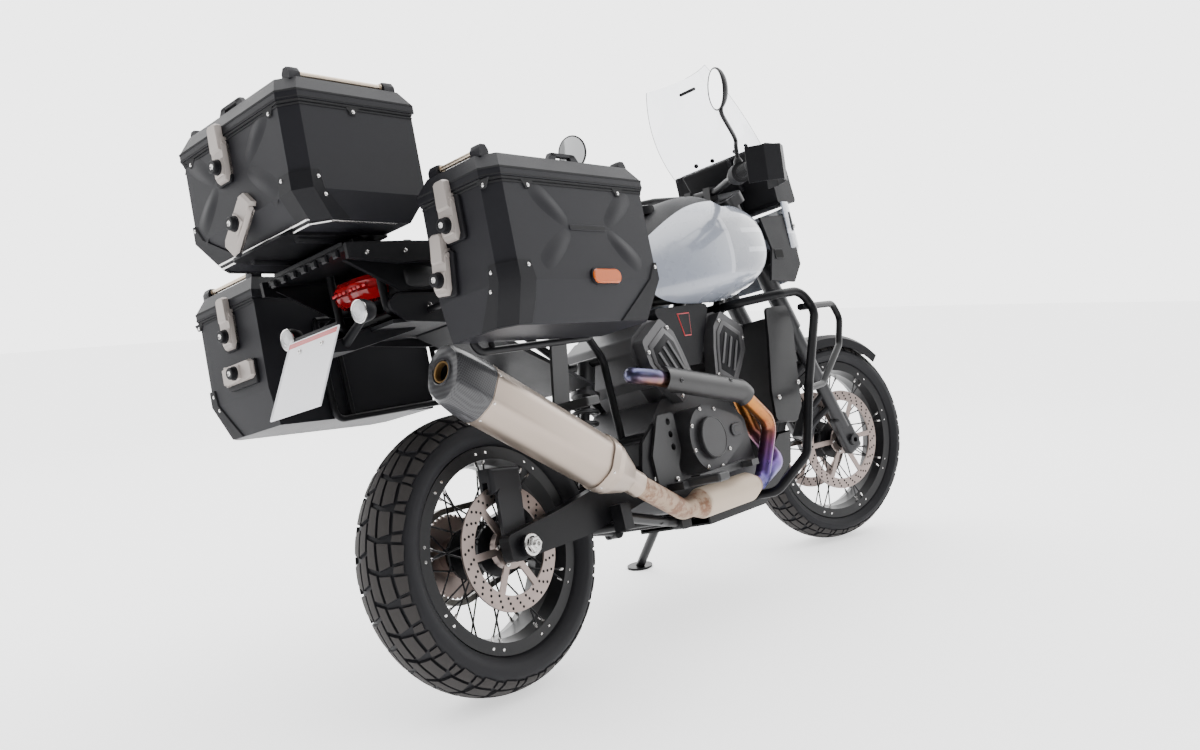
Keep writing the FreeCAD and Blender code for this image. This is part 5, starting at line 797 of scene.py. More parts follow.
CASE_PITCH = 3
CASE_BEVEL, CASE_CHAMFER_INSET, CASE_CHAMFER_END_SHARE = 0.030, 0.042, 0.35
LID_LIP, LID_STEP, LID_TOP, LID_INSET = 0.005, 0.0182, 0.0485, 0.014
RAIL_Z, RAIL_FIRST, RAIL_LAST, RAIL_RADIUS, POST_HALF = 0.065, 0.030, 0.045, 0.0045, 0.013


class Case:
    """A case drawn from its inner rear corner: X along it, Y outward, and its seam at Z = 0."""

    def __init__(self, name, back, inner, seam, length, depth, side, chamfer, hand=1, across=False):
        self.name, self.length, self.depth, self.side, self.chamfer = name, length, depth, side, chamfer
        self.lid_body = body_of(name + "_lid")
        place = moved(back, hand * inner, seam) @ turned(CASE_PITCH, "Y")
        if across:
            place = place @ moved(depth, -length / 2) @ turned(90, "Z")
        self.place = place @ mirrored(hand)
        middle = (0, depth / 2, 0)
        self.rear, self.front = axes(-Y, Z, -X, middle), axes(Y, Z, X, (length, depth / 2, 0))
        self.long_face = axes(X, -Z, Y, (length / 2, depth, 0))

    def insets(self, z):
        """How far the ends and the outer face have drawn in at a height."""
        share = max(0.0, min(1.0, (-self.side - z) / self.chamfer))
        return CASE_CHAMFER_INSET * CASE_CHAMFER_END_SHARE * share, CASE_CHAMFER_INSET * share

    def outline(self, z, proud=0.0):
        """Outer three sides of the case at a height, from the rear inner corner to the front one."""
        end, outer = self.insets(z)
        low, high, far = end - proud, self.length - end + proud, self.depth - outer + proud
        cut = CASE_BEVEL
        return [
            (low, 0.0), (low, far - cut), (low + cut, far), (high - cut, far), (high, far - cut), (high, 0.0)]

    def piece(self, name, bm, finishes, body="chassis", slot=None):
        add_piece(self.name + name, bm, finishes, body, STANCE @ self.place)


CASES = RIGHT_CASE, LEFT_CASE, TOP_CASE = (
    Case("right", -0.212, 0.290, 1.035, 0.475, 0.200, 0.200, 0.080, -1),
    Case("left", -0.291, 0.226, 0.988, 0.470, 0.266, 0.205, 0.085),
    Case("top", -0.416, 0.0, 1.278, 0.418, 0.307, 0.178, 0.056, across=True),
)


def band(bm, case, low, high, proud_low, proud_high):
    """Thin band around the three outer sides of a case."""
    sunk = 0.004
    rows = []
    for z, proud in (
            (low, proud_low - sunk), (low, proud_low), (high, proud_high), (high, proud_high - sunk)):
        rows.append([Vector((x, y, z)) for x, y in case.outline(z, proud)])
    rows = loft(bm, rows, closed=False, ends=False)
    bridge(bm, rows[-1], rows[0], closed=False)
    for index in (0, -1):
        bm.faces.new([row[index] for row in rows])


def corner_guard(bm, case, front, reaches, heights, proud=0.0034, sunk=-0.0006):
    """Moulded guard round a lower outer corner: reaches along the end and the long face, per height."""
    rows = []
    for z, (end_reach, long_reach) in zip(heights, reaches):
        for lift in (proud, sunk):
            end, outer = case.insets(z)
            x0, far = end - lift, case.depth - outer + lift
            points = [(x0, far - CASE_BEVEL - end_reach), (x0, far - CASE_BEVEL), (x0 + CASE_BEVEL, far),
                      (x0 + CASE_BEVEL + long_reach, far)]
            rows.append(ring(bm, [(case.length - x if front else x, y, z) for x, y in points]))
    outer_rows, inner_rows = rows[0::2], rows[1::2]
    for first, second in zip(outer_rows, outer_rows[1:]):
        bridge(bm, first, second, closed=False)
    for first, second in zip(inner_rows, inner_rows[1:]):
        bridge(bm, second, first, closed=False)
    for index in (0, -1):
        bridge(bm, outer_rows[index], inner_rows[index], closed=False)
        bridge(bm, [row[index] for row in outer_rows], [row[index] for row in inner_rows], closed=False)


def soft_ridge(bm, matrix, length=0.125, width=0.062, height=0.0042, steps=10, rows=8):
    """Low pressed ridge that fades out on every side and narrows towards one end."""
    grid = []
    for i in range(steps + 1):
        line = []
        for j in range(rows + 1):
            a, b = i / steps * 2 - 1, j / rows * 2 - 1
            rise = math.cos(a * math.pi / 2) ** 1.2 * (0.5 + 0.5 * math.cos(b * math.pi))
            taper = 0.65 + 0.35 * (i / steps)
            line.append(matrix @ Vector((a * length / 2, b * width / 2 * taper, rise * height - 0.0004)))
        grid.append(line)
    loft(bm, grid, closed=False, ends=False)


def rivet_tab(bm, matrix, width=0.034, height=0.017):
    """Rounded tab that hangs from the seam."""
    shares = (
        (-1, 0), (-0.55, -0.6), (-0.42, -0.92), (-0.2, -1), (0.2, -1), (0.42, -0.92), (0.55, -0.6), (1, 0))
    loft(bm, [
        [matrix @ Vector((a * width / 2, b * height, z)) for a, b in shares] for z in (-0.0005, 0.0026)])


def tab_places(case):
    """Places of the tabs just below the seam: two on the long face and one at each end."""
    below = moved(0, -0.004)
    first, second, at_rear = (-0.36, 0.36, 0) if case is TOP_CASE else (-0.27, 0.30, 0.40)
    along = [
        case.long_face @ turned(180, "Z") @ moved(share * case.length, -0.004) for share in (first, second)]
    return along + [case.rear @ moved(-case.depth * at_rear) @ below, case.front @ below]


def case_trim():
    """Seams, tabs, corner guards, rivets, pressings and rails of the cases."""
    for case in CASES:
        bm = bmesh.new()
        band(bm, case, -0.0045, -0.0004, 0.0030, 0.0034)
        band(bm, case, -0.0105, -0.0075, 0.0016, 0.0016)
        for where in tab_places(case):
            rivet_tab(bm, where)
        case.piece("_case_seam", bm, "grip_rubber", slot="dark_plastic")
        bm = bmesh.new()
        band(bm, case, LID_STEP - 0.0022, LID_STEP + 0.0012, LID_LIP + 0.0008, LID_LIP + 0.0008)
        band(bm, case, 0.0030, 0.0050, LID_LIP + 0.0007, LID_LIP + 0.0007)
        case.piece("_lid_seam", bm, "grip_rubber", case.lid_body, "dark_plastic")
        bm = bmesh.new()
        low = -case.side - case.chamfer + 0.001
        heights = (-case.side + 0.036, -case.side, (-case.side + low) / 2, low)
        near = ((0.020, 0.036), (0.026, 0.042), (0.034, 0.042), (0.044, 0.036))
        far = ((0.010, 0.006), (0.020, 0.030), (0.030, 0.056), (0.040, 0.084))
        corner_guard(bm, case, False, near, heights)
        corner_guard(bm, case, True, far, heights)
        case.piece("_corner_guards", bm, "dark_plastic")
        case_rivets(case)
        case_pressing(case)
        lid_rails(case)


def case_rivets(case):
    """Bright rivets on the tabs and the corner guards."""
    bm = bmesh.new()
    head = ((0.0042, -0.001), (0.0040, 0.0014), (0.0026, 0.0024), (0, 0.0027))
    tab_head = ((0.0042, 0.002), (0.0040, 0.0034), (0.0026, 0.0044), (0, 0.0047))
    for where in tab_places(case):
        lathe(bm, tab_head, where @ moved(0, -0.0105), 12)
    edge, end_edge = case.length / 2 - CASE_BEVEL, case.depth / 2 - CASE_BEVEL
    guard_face = 0.0030
    for face, across, z in (
            (case.long_face, -edge + 0.024, 0.027), (case.long_face, edge - 0.004, 0.026),
            (case.rear, -end_edge + 0.012, 0.022), (case.rear, -end_edge + 0.024, -0.012)):
        z -= case.side
        up = -z if face is case.long_face else z
        lathe(bm, head, face @ moved(across, up, guard_face - case.insets(z)[0]), 12)
    case.piece("_case_rivets", bm, "bright_steel", slot="latch_metal")


def case_pressing(case):
    """Soft cross pressed into the long face, with a plain strip in its middle."""
    bm = bmesh.new()
    middle = case.long_face @ moved(0.012, case.side * 0.47)
    for sx in (-1, 1):
        for sy in (-1, 1):
            way = Matrix.Rotation(math.atan2(sy * 0.052, sx * 0.064), 4, "Z")
            soft_ridge(bm, middle @ moved(sx * 0.104, sy * 0.044) @ way)
    case.piece("_case_pressing", bm, "case_black")
    if case is TOP_CASE:
        return
    bm = bmesh.new()
    rounded_slab(bm, middle, 0.112, 0.0125, 0.0016, 0.006, 0.0006)
    rounded_slab(bm, middle, 0.106, 0.0075, 0.0019, 0.0036, 0.0003, 1)
    case.piece("_case_strip", bm, "case_black grip_rubber")


def lid_rails(case):
    """Pale metal rails between the corner posts of a lid, with a collar at each end."""
    bm = bmesh.new()
    gap, collar = 0.0006, 0.004
    for x in (RAIL_FIRST, case.length - RAIL_FIRST):
        start, end = RAIL_FIRST + POST_HALF + gap, case.depth - RAIL_LAST - POST_HALF - gap
        bar_between(bm, (x, start, RAIL_Z), (x, end, RAIL_Z), RAIL_RADIUS + 0.0009, 14)
        for y in (start, end - collar):
            bar_between(bm, (x, y, RAIL_Z), (x, y + collar, RAIL_Z), RAIL_RADIUS + 0.0028, 14)
    case.piece("_lid_rails", bm, "champagne_metal", case.lid_body, "latch_metal")


def lid_furniture():
    """Corner posts and lashing loops on each lid."""
    size, low, high, edge, loop_depth = 0.026, LID_TOP, 0.0745, 0.017, 0.011
    flat = Matrix.Identity(4)
    for case in CASES:
        bm = bmesh.new()
        shoulder = low + size * 0.6
        for x in (edge, case.length - edge - size):
            for y in (edge, case.depth - LID_INSET - CASE_BEVEL * 0.6 - size):
                points = [(x, low), (x + size, low), (x + size, shoulder), (x + size * 0.75, high),
                          (x + size * 0.25, high), (x, shoulder)]
                polygon_plate(bm, flat, points, y, y + size, 0.94)
        middle = case.length / 2
        for y in (edge, case.depth - 0.028):
            for side in (-1, 1):
                leg = ((0.024, low), (0.049, low), (0.036, 0.0672), (0.0195, 0.0672))
                polygon_plate(bm, flat, [(middle + side * x, z) for x, z in leg], y, y + loop_depth, 0.96)
            bar = ((-0.0355, 0.0606), (0.0355, 0.0606), (0.033, 0.0676), (-0.033, 0.0676))
            polygon_plate(bm, flat, [(middle + x, z) for x, z in bar], y, y + loop_depth, 0.98)
        case.piece("_lid_posts", bm, "case_black", case.lid_body)


# Each latch: its case, its place across the face (from the inner edge, or for the top case as a
# share along the long face), the height of its middle (below the seam is negative), its turn in
# degrees and its length.
SHORT_LATCH, LONG_LATCH = 0.092, 0.126
LATCHES = (
    (RIGHT_CASE, 0.080, -0.049, 0, SHORT_LATCH), (RIGHT_CASE, 0.0331, -0.144, 8, SHORT_LATCH),
    (LEFT_CASE, 0.1064, -0.049, 0, SHORT_LATCH), (LEFT_CASE, 0.092, -0.1517, 90, LONG_LATCH),
    (TOP_CASE, 0.56, -0.049, 0, SHORT_LATCH), (TOP_CASE, 0.5, -0.191, -46, LONG_LATCH),
)


def latch_frames():
    """Place and length of each latch: X to its right, Y along it, Z out of the face it lies on."""
    for case, spot, z, angle, height in LATCHES:
        if case is TOP_CASE:
            face, across = case.long_face @ turned(180, "Z"), (0.5 - spot) * case.length
        else:
            face, across = case.rear, case.depth / 2 - spot
        yield case.place @ face @ moved(across, z) @ turned(angle, "Z"), height


def latches():
    """Black base and lock knob of each latch."""
    knob, base = bmesh.new(), bmesh.new()
    profile = ((0.0165, 0.0), (0.0160, 0.0035), (0.0140, 0.0040), (0.0137, 0.0122), (0.0118, 0.0136),
               (0.0060, 0.0136), (0.0050, 0.0118), (0, 0.0118))
    knob_drop, knob_lift = 0.0607, 0.0203
    for where, height in latch_frames():
        lathe(knob, profile, where @ moved(0, height / 2 - knob_drop, knob_lift), 24, [0, 0, 0, 0, 0, 1, 1])
        rounded_slab(base, where @ moved(-0.006, -0.004), 0.056, height * 0.97, 0.0075, 0.008)
    add_piece("latch_knobs", knob, "dark_plastic bright_steel")
    add_piece("latch_bases", base, "dark_plastic")


def clasp_bodies():
    """Cast clasps with sloped shoulders; the short ones carry a tongue."""
    bm = bmesh.new()
    half = 0.022
    for where, height in latch_frames():
        flat, top = where @ axes(X, Z, Y), height / 2
        body = [(-half * 0.7, -top), (half * 0.7, -top), (half, -top + 0.012), (half, top - 0.016),
                (half * 0.8, top), (-half * 0.8, top), (-half, top - 0.016), (-half, -top + 0.012)]
        polygon_plate(bm, flat, body, 0.0, 0.0165, 0.92)
        pad = [(-0.016, top - 0.080), (0.016, top - 0.080), (0.0185, top - 0.045), (-0.0185, top - 0.045)]
        polygon_plate(bm, flat, pad, 0.012, 0.0203, 0.86)
        if height == SHORT_LATCH:
            tongue = [(-0.018, top - 0.030), (0.018, top - 0.030), (0.0165, top + 0.024),
                      (0.010, top + 0.029), (-0.010, top + 0.029), (-0.0165, top + 0.024)]
            polygon_plate(bm, flat, tongue, 0.0068, 0.0215, 0.88)
        pin = [where @ Vector((side * half * 1.04, top - 0.014, 0.010)) for side in (-1, 1)]
        bar_between(bm, *pin, 0.0052, 12)
    add_piece("clasp_bodies", bm, "latch_metal", instead_of=("case_latches",))


def case_reflector():
    """Amber reflector low on the long face of the right case."""
    spot = RIGHT_CASE.place.inverted() @ Vector((0.053, -0.48, 0.826))
    where = RIGHT_CASE.long_face @ moved(spot.x - RIGHT_CASE.length / 2, -spot.z, 0.0002)
    bm = bmesh.new()
    rounded_slab(bm, where, 0.092, 0.036, 0.0042, 0.017, 0.001)
    rounded_slab(bm, where, 0.086, 0.030, 0.0078, 0.0145, 0.0025, 1)
    add_piece("case_reflector", bm, "dark_plastic amber_lens",
              place=STANCE @ RIGHT_CASE.place)


# Tail, lamps and plate

PLATE = moved(-0.318, 0, 0.852) @ turned(29, "Y") @ axes(-Y, Z, -X)
PLATE_HALF, PLATE_LOW, PLATE_HIGH = 0.0895, -0.1775, -0.0005


def indicators():
    """Round clear indicators with bright rims on dark arms."""
    dark, rim, lens, inner = (bmesh.new() for _ in range(4))
    for side in (-1, 1):
        centre = Vector((-0.292, side * 0.130, 0.868))
        where = facing(centre, -X)
        lathe(dark, ((0, -0.034), (0.012, -0.034), (0.019, -0.028), (0.0242, -0.012), (0.0248, 0.0),
                     (0.0225, 0.0), (0.0222, -0.010), (0, -0.016)), where, 28)
        root = Vector((-0.2716, side * 0.036, 0.820))
        way = centre + X * 0.0204 - root
        half = way.length * 0.5
        for share, radius in ((0.0, 0.0105), (0.45, 0.0092)):
            lathe(dark, ((0, 0), (radius, 0), (radius * 0.9, half), (0, half)),
                  facing(root + way * share * 0.98, way), 12)
        lathe(rim, ((0.0218, -0.002), (0.0246, 0.0), (0.0250, 0.0022), (0.0238, 0.0036), (0.0218, 0.0026)),
              where, 28, closed=True)
        lathe(inner, ((0.0215, 0.0008), (0.0180, -0.0036), (0.0150, -0.0010), (0.0115, -0.0056),
                      (0.0075, -0.0026), (0.0040, -0.0040), (0, -0.0020)), where, 28)
        lathe(lens, ((0.0218, -0.0005), (0.0218, 0.0022), (0.0205, 0.0044), (0.0165, 0.0062),
                     (0.0155, 0.0050), (0.0100, 0.0066), (0.0090, 0.0056), (0, 0.0072)), where, 28)
    add_piece("indicator_bodies", dark, "dark_plastic", instead_of=("rear_indicators",))
    add_piece("indicator_rims", rim, "bright_steel")
    add_piece("indicator_reflectors", inner, "bright_steel")
    add_piece("indicator_lenses", lens, "clear_lens")


def number_plate():
    """Red band at the top of the bare plate, its two bolts and its raised edge."""
    bm = bmesh.new()
    rounded_slab(bm, PLATE @ moved(0, -0.0075), 0.178, 0.013, 0.0007, 0.003, 0.0003)
    add_piece("plate_band", bm, "red_enamel")
    bm = bmesh.new()
    for x in (-0.04, 0.04):
        button_head(bm, PLATE @ moved(x, -0.030), 0.0055, 0.003)
    add_piece("plate_bolts", bm, "bright_steel")
    bm = bmesh.new()
    corners = ((-PLATE_HALF, PLATE_HIGH), (PLATE_HALF, PLATE_HIGH), (PLATE_HALF, PLATE_LOW),
               (-PLATE_HALF, PLATE_LOW))
    middle = (PLATE_LOW + PLATE_HIGH) / 2
    loft(bm, [[PLATE @ Vector((x * share, middle + (y - middle) * share, z)) for x, y in corners]
              for share, z in ((1, 0.0004), (1, 0.0012), (0.975, 0.0012), (0.975, 0.0002))], ends=False)
    add_piece("plate_edge", bm, "plate_white")


def tail_lamp():
    """Faceted red lamp with raised bars over its light strip."""
    bm = bmesh.new()
    back, front, half, low, high = -0.2155, -0.158, 0.0745, 0.9085, 0.9635
    rows = (
        (low, 0.020, 0.86), (low + 0.010, 0.004, 0.97), (low + 0.020, 0.000, 1.0), (low + 0.026, 0.006, 1.0),
        (low + 0.034, 0.006, 1.0), (low + 0.040, 0.001, 0.98), (high - 0.004, 0.010, 0.92),
        (high, 0.024, 0.80))
    shares = ((-1, 1), (-1, 0.48), (-0.78, 0.22), (-0.50, 0.02), (-0.22, 0.0), (0, 0.05), (0.22, 0.0),
              (0.50, 0.02), (0.78, 0.22), (1, 0.48), (1, 1))
    loft(bm, [[Vector((back + inset + (front - back - inset) * b, half * wide * a, z)) for a, b in shares]
              for z, inset, wide in rows])
    add_piece("tail_lamp_lens", bm, "red_lens", smooth=False, instead_of=("tail_lamp",))
    bm = bmesh.new()
    for side in (-1, 1):
        for k in range(4):
            x = back + 0.0055 + (0.004 if k > 2 else 0)
            slab(bm, facing((x, side * (0.012 + k * 0.014), 0.938), -X, Y), 0.010, 0.006, 0.002, 0.0006)
    add_piece("tail_lamp_bars", bm, "red_enamel")


# Silencer and heat shield

SILENCER_START, SILENCER_TIP = Vector((0.262, -0.222, 0.418)), Vector((-0.196, -0.222, 0.711))
SILENCER_CAP_SHARE, SILENCER_NECK_SHARE, SILENCER_SLANT, OUTLET_RADIUS = 0.82, 0.06, -14, 0.0272
STRAP_HALF_HEIGHT, STRAP_HALF_WIDTH = 0.0652, 0.0526


def exhaust_trim():
    seats = [((x, -0.36, z), Y, ("header_shield",)) for x, z in ((0.56, 0.60), (0.77, 0.575))]
    seated_heads("shield_screws", seats, 0.0062, 0.0035, "spring_metal")


def silencer_section(half_height, half_width, distance, corner_steps=5):
    """Eight-sided section with rounded corners, at a distance along the silencer."""
    shares = ((1, 0.35), (0.5, 1), (-0.5, 1), (-1, 0.35), (-1, -0.35), (-0.5, -1), (0.5, -1), (1, -0.35))
    points = [Vector((half_height * a, half_width * b)) for a, b in shares]
    cut = half_width * 0.30
    loop = []
    for k, here in enumerate(points):
        a, b = (here + (points[(k + d) % len(points)] - here).normalized() * cut for d in (-1, 1))
        for step in range(corner_steps + 1):
            t = step / corner_steps
            spot = a * (1 - t) ** 2 + here * 2 * t * (1 - t) + b * t ** 2
            loop.append(Vector((spot.x, spot.y, distance)))
    return loop


def silencer():
    """Silencer can with its straps, slanted end cap and double-ring outlet."""
    axis = (SILENCER_TIP - SILENCER_START).normalized()
    place = STANCE @ axes(Y.cross(axis), Y, axis, SILENCER_START)
    length = (SILENCER_TIP - SILENCER_START).length
    cap_at, neck = length * SILENCER_CAP_SHARE, length * SILENCER_NECK_SHARE
    can, cap, tip_ring, rivets = (bmesh.new() for _ in range(4))
    loft(can, [silencer_section(*row) for row in (
        (0.031, 0.026, -neck * 2.2), (0.031, 0.026, -neck * 1.0), (0.040, 0.034, -neck * 0.6),
        (0.0625, 0.0505, neck), (0.0645, 0.0520, neck * 1.1), (0.0670, 0.0540, cap_at - 0.001))])
    for start, width in ((neck * 1.6, 0.024), (cap_at - 0.016, 0.014)):
        rows = ((0.0, 0.0), (0.0024, 0.0008), (0.0026, width - 0.0008), (0.0, width))
        strap = [silencer_section(STRAP_HALF_HEIGHT + g, STRAP_HALF_WIDTH + g, start + d) for g, d in rows]
        loft(can, strap, ends=False)
    slant = turned(SILENCER_SLANT, "Y")
    loops = [silencer_section(0.0684, 0.0552, cap_at), silencer_section(0.0672, 0.0545, cap_at + 0.030)]
    for half_height, half_width, back in (
            (0.0610, 0.0490, -0.008), (0.0560, 0.0450, -0.001), (0.0400, 0.0340, 0.0005)):
        pivot = moved(z=length + back)
        turn = pivot @ slant @ pivot.inverted()
        loops.append([turn @ p for p in silencer_section(half_height, half_width, length + back)])
    tip = moved(z=length) @ slant
    turns = [2 * math.pi * k / 48 for k in range(48)]
    lip = [
        tip @ Vector((OUTLET_RADIUS * math.cos(turn), OUTLET_RADIUS * math.sin(turn), 0.0)) for turn in turns]
    loft(cap, loops + [lip], ends=False)
    # The outlet's inner tube takes the near-black second finish: real soot, and painted shade of its hollow as
    # well.
    lathe(cap, ((OUTLET_RADIUS, 0), (0.0278, 0.0045), (0.0258, 0.0052), (0.0252, 0), (0.0240, -0.030),
                (0, -0.030)), tip, 48, [0, 0, 0, 1, 1])
    lathe(tip_ring, ((0.0185, -0.004), (0.0198, 0.0022), (0.0226, 0.0026), (0.0232, 0), (0.0222, -0.012),
                     (0.0192, -0.012)), tip, 40, closed=True)
    for along, reach in ((cap_at - 0.009, 0.0028), (neck * 1.6 + 0.012, 0.0026)):
        for spot in silencer_section(STRAP_HALF_HEIGHT + reach, STRAP_HALF_WIDTH + reach, along, 2)[1::3]:
            out = Vector((spot.x, spot.y * 1.4, 0)).normalized()
            rivet_head(rivets, facing(spot - out * 0.0004, out, Z))
    add_piece("silencer_can", can, "muffler_metal", place=place, instead_of=("muffler",))
    add_piece("silencer_cap", cap, "muffler_end soot", place=place, instead_of=("muffler_cap",))
    add_piece("silencer_tip_ring", tip_ring, "gold_ring", place=place)
    add_piece("silencer_rivets", rivets, "bright_steel", place=place)


# Rack and side panels

def rack_rails():
    """Grab rails, plate, cross bars and small fittings, and two bright rods along the lower edge of the top case
    that stand for a painted reflection highlight.
    """
    black, bright = bmesh.new(), bmesh.new()
    rail = ((-0.312, 0.971), (-0.183, 0.957), (0.084, 0.962), (0.118, 0.980), (0.075, 0.998), (-0.183, 1.003),
            (-0.312, 1.003))
    cheek = ((-0.300, 0.975), (-0.170, 0.905), (0.100, 0.905), (0.110, 0.965), (-0.200, 0.985))
    for side in (-1, 1):
        polygon_plate(black, mirrored(side), rail, 0.150, 0.164, 0.985)
        polygon_plate(black, mirrored(side), cheek, 0.120, 0.128, 0.98)
        for k in range(4):
            spot = (-0.27 + k * 0.10, side * 0.165, 0.981 - abs(k - 1.5) * 0.001)
            button_head(bright, facing(spot, Y * side), 0.0052, 0.0032)
    rounded_slab(black, facing((-0.17, 0, 0.992), Z), 0.270, 0.302, 0.010, 0.018, 0.002)
    for x in (-0.285, -0.215, -0.12):
        slab(black, facing((x, 0, 1.002), Z, Y), 0.250, 0.020, 0.014, 0.003)
    for k in range(7):
        y = -0.114 + k * 0.038
        slab(black, facing((-0.304, y, 0.990), -X, Y), 0.018, 0.016, 0.008, 0.003)
        slab(black, facing((-0.245 + 0.012 * (k % 2), y, 1.012), Z), 0.030, 0.012, 0.012, 0.003)
    # Two bright steel rods traced along the top case's lower edge: a painted reflection highlight, not a part of
    # the rack.
    case = TOP_CASE
    low = -case.side - case.chamfer + 0.010
    for z in (low, low - 0.008):
        end, outer = case.insets(z)
        near, far = case.depth * 0.25, case.depth - outer
        half = [(end + 0.004, near), (end + 0.004, far - 0.03), (end + 0.032, far + 0.001)]
        route = [(case.length - x, y) for x, y in half] + half[::-1]
        points = [case.place @ Vector((x, y, z - 0.004)) for x, y in route]
        for first, second in zip(points, points[1:]):
            bar_between(bright, first, second, 0.0024, 10)
    add_piece("rack_rails", black, "black_frame")
    add_piece("top_case_edge_highlight", bright, "bright_steel")


def side_panels():
    """Panels between tank and nose, each with a window drawn as a near-black patch of painted shade, and the guard
    below the tail.
    """
    bm = bmesh.new()
    back, front, low, high, face = 1.183, 1.377, 0.832, 1.046, 0.1902
    shares = ((0, 0.05), (0.7, 0), (1, 0.25), (1, 1), (0.1, 0.96), (0.24, 0.5))
    points = [(back + (front - back) * a, low + (high - low) * b) for a, b in shares]
    for side in (-1, 1):
        polygon_plate(bm, mirrored(side), points, 0.184, 0.1905, 0.985)
    # Each window is a raised near-black patch in a dark frame: painted shade where the panel is open.
    for side in (-1, 1):
        where = facing((1.262, side * face, 0.922), Y * side, X)
        rounded_slab(bm, where, 0.050, 0.032, 0.0022, 0.005, 0.0008)
        rounded_slab(bm, where, 0.042, 0.024, 0.0026, 0.004, 0.0004, 1)
    add_piece("bridge_panels", bm, "dark_plastic soot")
    bm = bmesh.new()
    slope = ((0.020, 0.845), (0.020, 0.835), (0.405, 0.640), (0.417, 0.640), (0.038, 0.845))
    polygon_plate(bm, Matrix.Identity(4), slope, -0.084, 0.084, 1.0)
    add_piece("tail_guard", bm, "dark_plastic")


# Engine

BANK, CRANK = 30, (0.790, 0, 0.420)
CLUTCH_X, CLUTCH_Z, CLUTCH_FACE, CLUTCH_BOLT_REACH = 0.690, 0.440, 0.206, 0.0826
LEFT_COVER_X, LEFT_COVER_Z, LEFT_BOLT_REACH = 0.766, 0.420, 0.077
HEAD_WIDTH, HEAD_LOW, HEAD_HEIGHT, HEAD_MIDDLE, HEAD_FACE = 0.176, 0.168, 0.212, 0.276, 0.1523


def head_cover_trim():
    """Raised rim, dark insert, cast ribs and bolts on each cylinder cover."""
    shares = ((0.22, 0), (0.8, 0), (0.94, 0.45), (1, 0.72), (0.86, 1), (0.14, 1), (0, 0.72), (0.06, 0.42))
    outline = [((a - 0.5) * HEAD_WIDTH * 0.86, HEAD_LOW + HEAD_HEIGHT * b) for a, b in shares]
    pocket, rim = (
        [(x * wide, HEAD_MIDDLE + (z - HEAD_MIDDLE) * tall) for x, z in outline] for wide, tall in (
            (0.66, 0.64), (0.80, 0.78)))
    low, high, half = HEAD_MIDDLE - 0.050, HEAD_MIDDLE + 0.046, 0.0045
    dark, ribs, bolts = bmesh.new(), bmesh.new(), bmesh.new()
    for angle in (-BANK, BANK):
        for side in (-1, 1):
            where = moved(*CRANK) @ turned(angle, "Y") @ mirrored(side)
            polygon_plate(ribs, where, rim, HEAD_FACE - 0.001, HEAD_FACE + 0.0035, 0.95)
            polygon_plate(dark, where, pocket, HEAD_FACE + 0.002, HEAD_FACE + 0.0042, 0.97)
            for share in (-0.15, 0.0, 0.15):
                x = HEAD_WIDTH * share
                rib = ((x - half, low), (x + half, low), (x + half, high), (x - half, high))
                polygon_plate(ribs, where, rib, HEAD_FACE + 0.003, HEAD_FACE + 0.0072, 0.94)
            for x, z in ((-0.058, 0.346), (0.058, 0.346), (-0.036, 0.186), (0.036, 0.186)):
                out = where.to_3x3() @ Y
                button_head(bolts, facing(where @ Vector((x, HEAD_FACE, z)), out), 0.0060, 0.0048)
    add_piece("head_ribs", ribs, "cylinder_metal")
    add_piece("head_inserts", dark, "dark_plastic")
    add_piece("head_bolts", bolts, "bright_steel")


def clutch_boss():
    bm = bmesh.new()
    where = facing((0.812, -0.1938, 0.444), -Y, X)
    rounded_slab(bm, where, 0.052, 0.034, 0.0052, 0.0165, 0.0015)
    rounded_slab(bm, where, 0.034, 0.018, 0.0060, 0.0085, 0.0008, 1)
    add_piece("clutch_boss", bm, "engine_case derby_cover")


def engine_trim():
    """Round clutch lid, bolts of both side covers, and a bare red frame where a badge sits."""
    bm = bmesh.new()
    lathe(bm, ((0.0545, -0.0005), (0.0545, 0.0012), (0.0520, 0.0022), (0.0505, 0.0010), (0.0, 0.0013)),
          facing((CLUTCH_X, -CLUTCH_FACE, CLUTCH_Z), -Y), 48)
    add_piece("clutch_derby", bm, "derby_cover")
    bm = bmesh.new()
    for side, x, z, reach, turns, radius in (
            (-1, CLUTCH_X, CLUTCH_Z, CLUTCH_BOLT_REACH, range(60, 331, 45), 0.0058),
            (1, LEFT_COVER_X, LEFT_COVER_Z, LEFT_BOLT_REACH, range(20, 361, 40), 0.0056)):
        for degrees in turns:
            start = around(Vector((x, 0, z)), reach, math.radians(degrees), side * 0.4)
            found = cast(start, Y * -side, ("engine_side_covers",))
            if found:
                button_head(bm, facing(found[0], Y * side), radius, 0.004)
    add_piece("engine_cover_bolts", bm, "bright_steel")
    bm = bmesh.new()
    outer = ((0.762, 0.786), (0.818, 0.786), (0.806, 0.722), (0.774, 0.722))
    inner = ((0.7645, 0.7835), (0.8155, 0.7835), (0.8042, 0.7245), (0.7758, 0.7245))
    for side in (-1, 1):
        polygon_plate(bm, mirrored(side), outer, 0.1275, 0.1296, 0.96)
        polygon_plate(bm, mirrored(side), inner, 0.1275, 0.1302, 0.97, 1)
    add_piece("valley_badge_place", bm, "red_enamel dark_plastic")


# Bars, mirrors and screen

FORK_OFFSET, CLAMP_HEIGHT, CLAMP_AHEAD, CLAMP_RISE = 0.040, 0.880, 0.020, 0.056
BAR_HALF, BAR_DROP_BACK, BAR_END_RISE, BAR_BEND_RISE, BAR_BEND_SHARE = 0.440, 0.185, 0.0128, 0.016, 0.42
MIRROR_X, MIRROR_STAGGER, MIRROR_HALF, MIRROR_Z, MIRROR_TURN = 0.983, 0.034, 0.408, 1.388, math.radians(20)


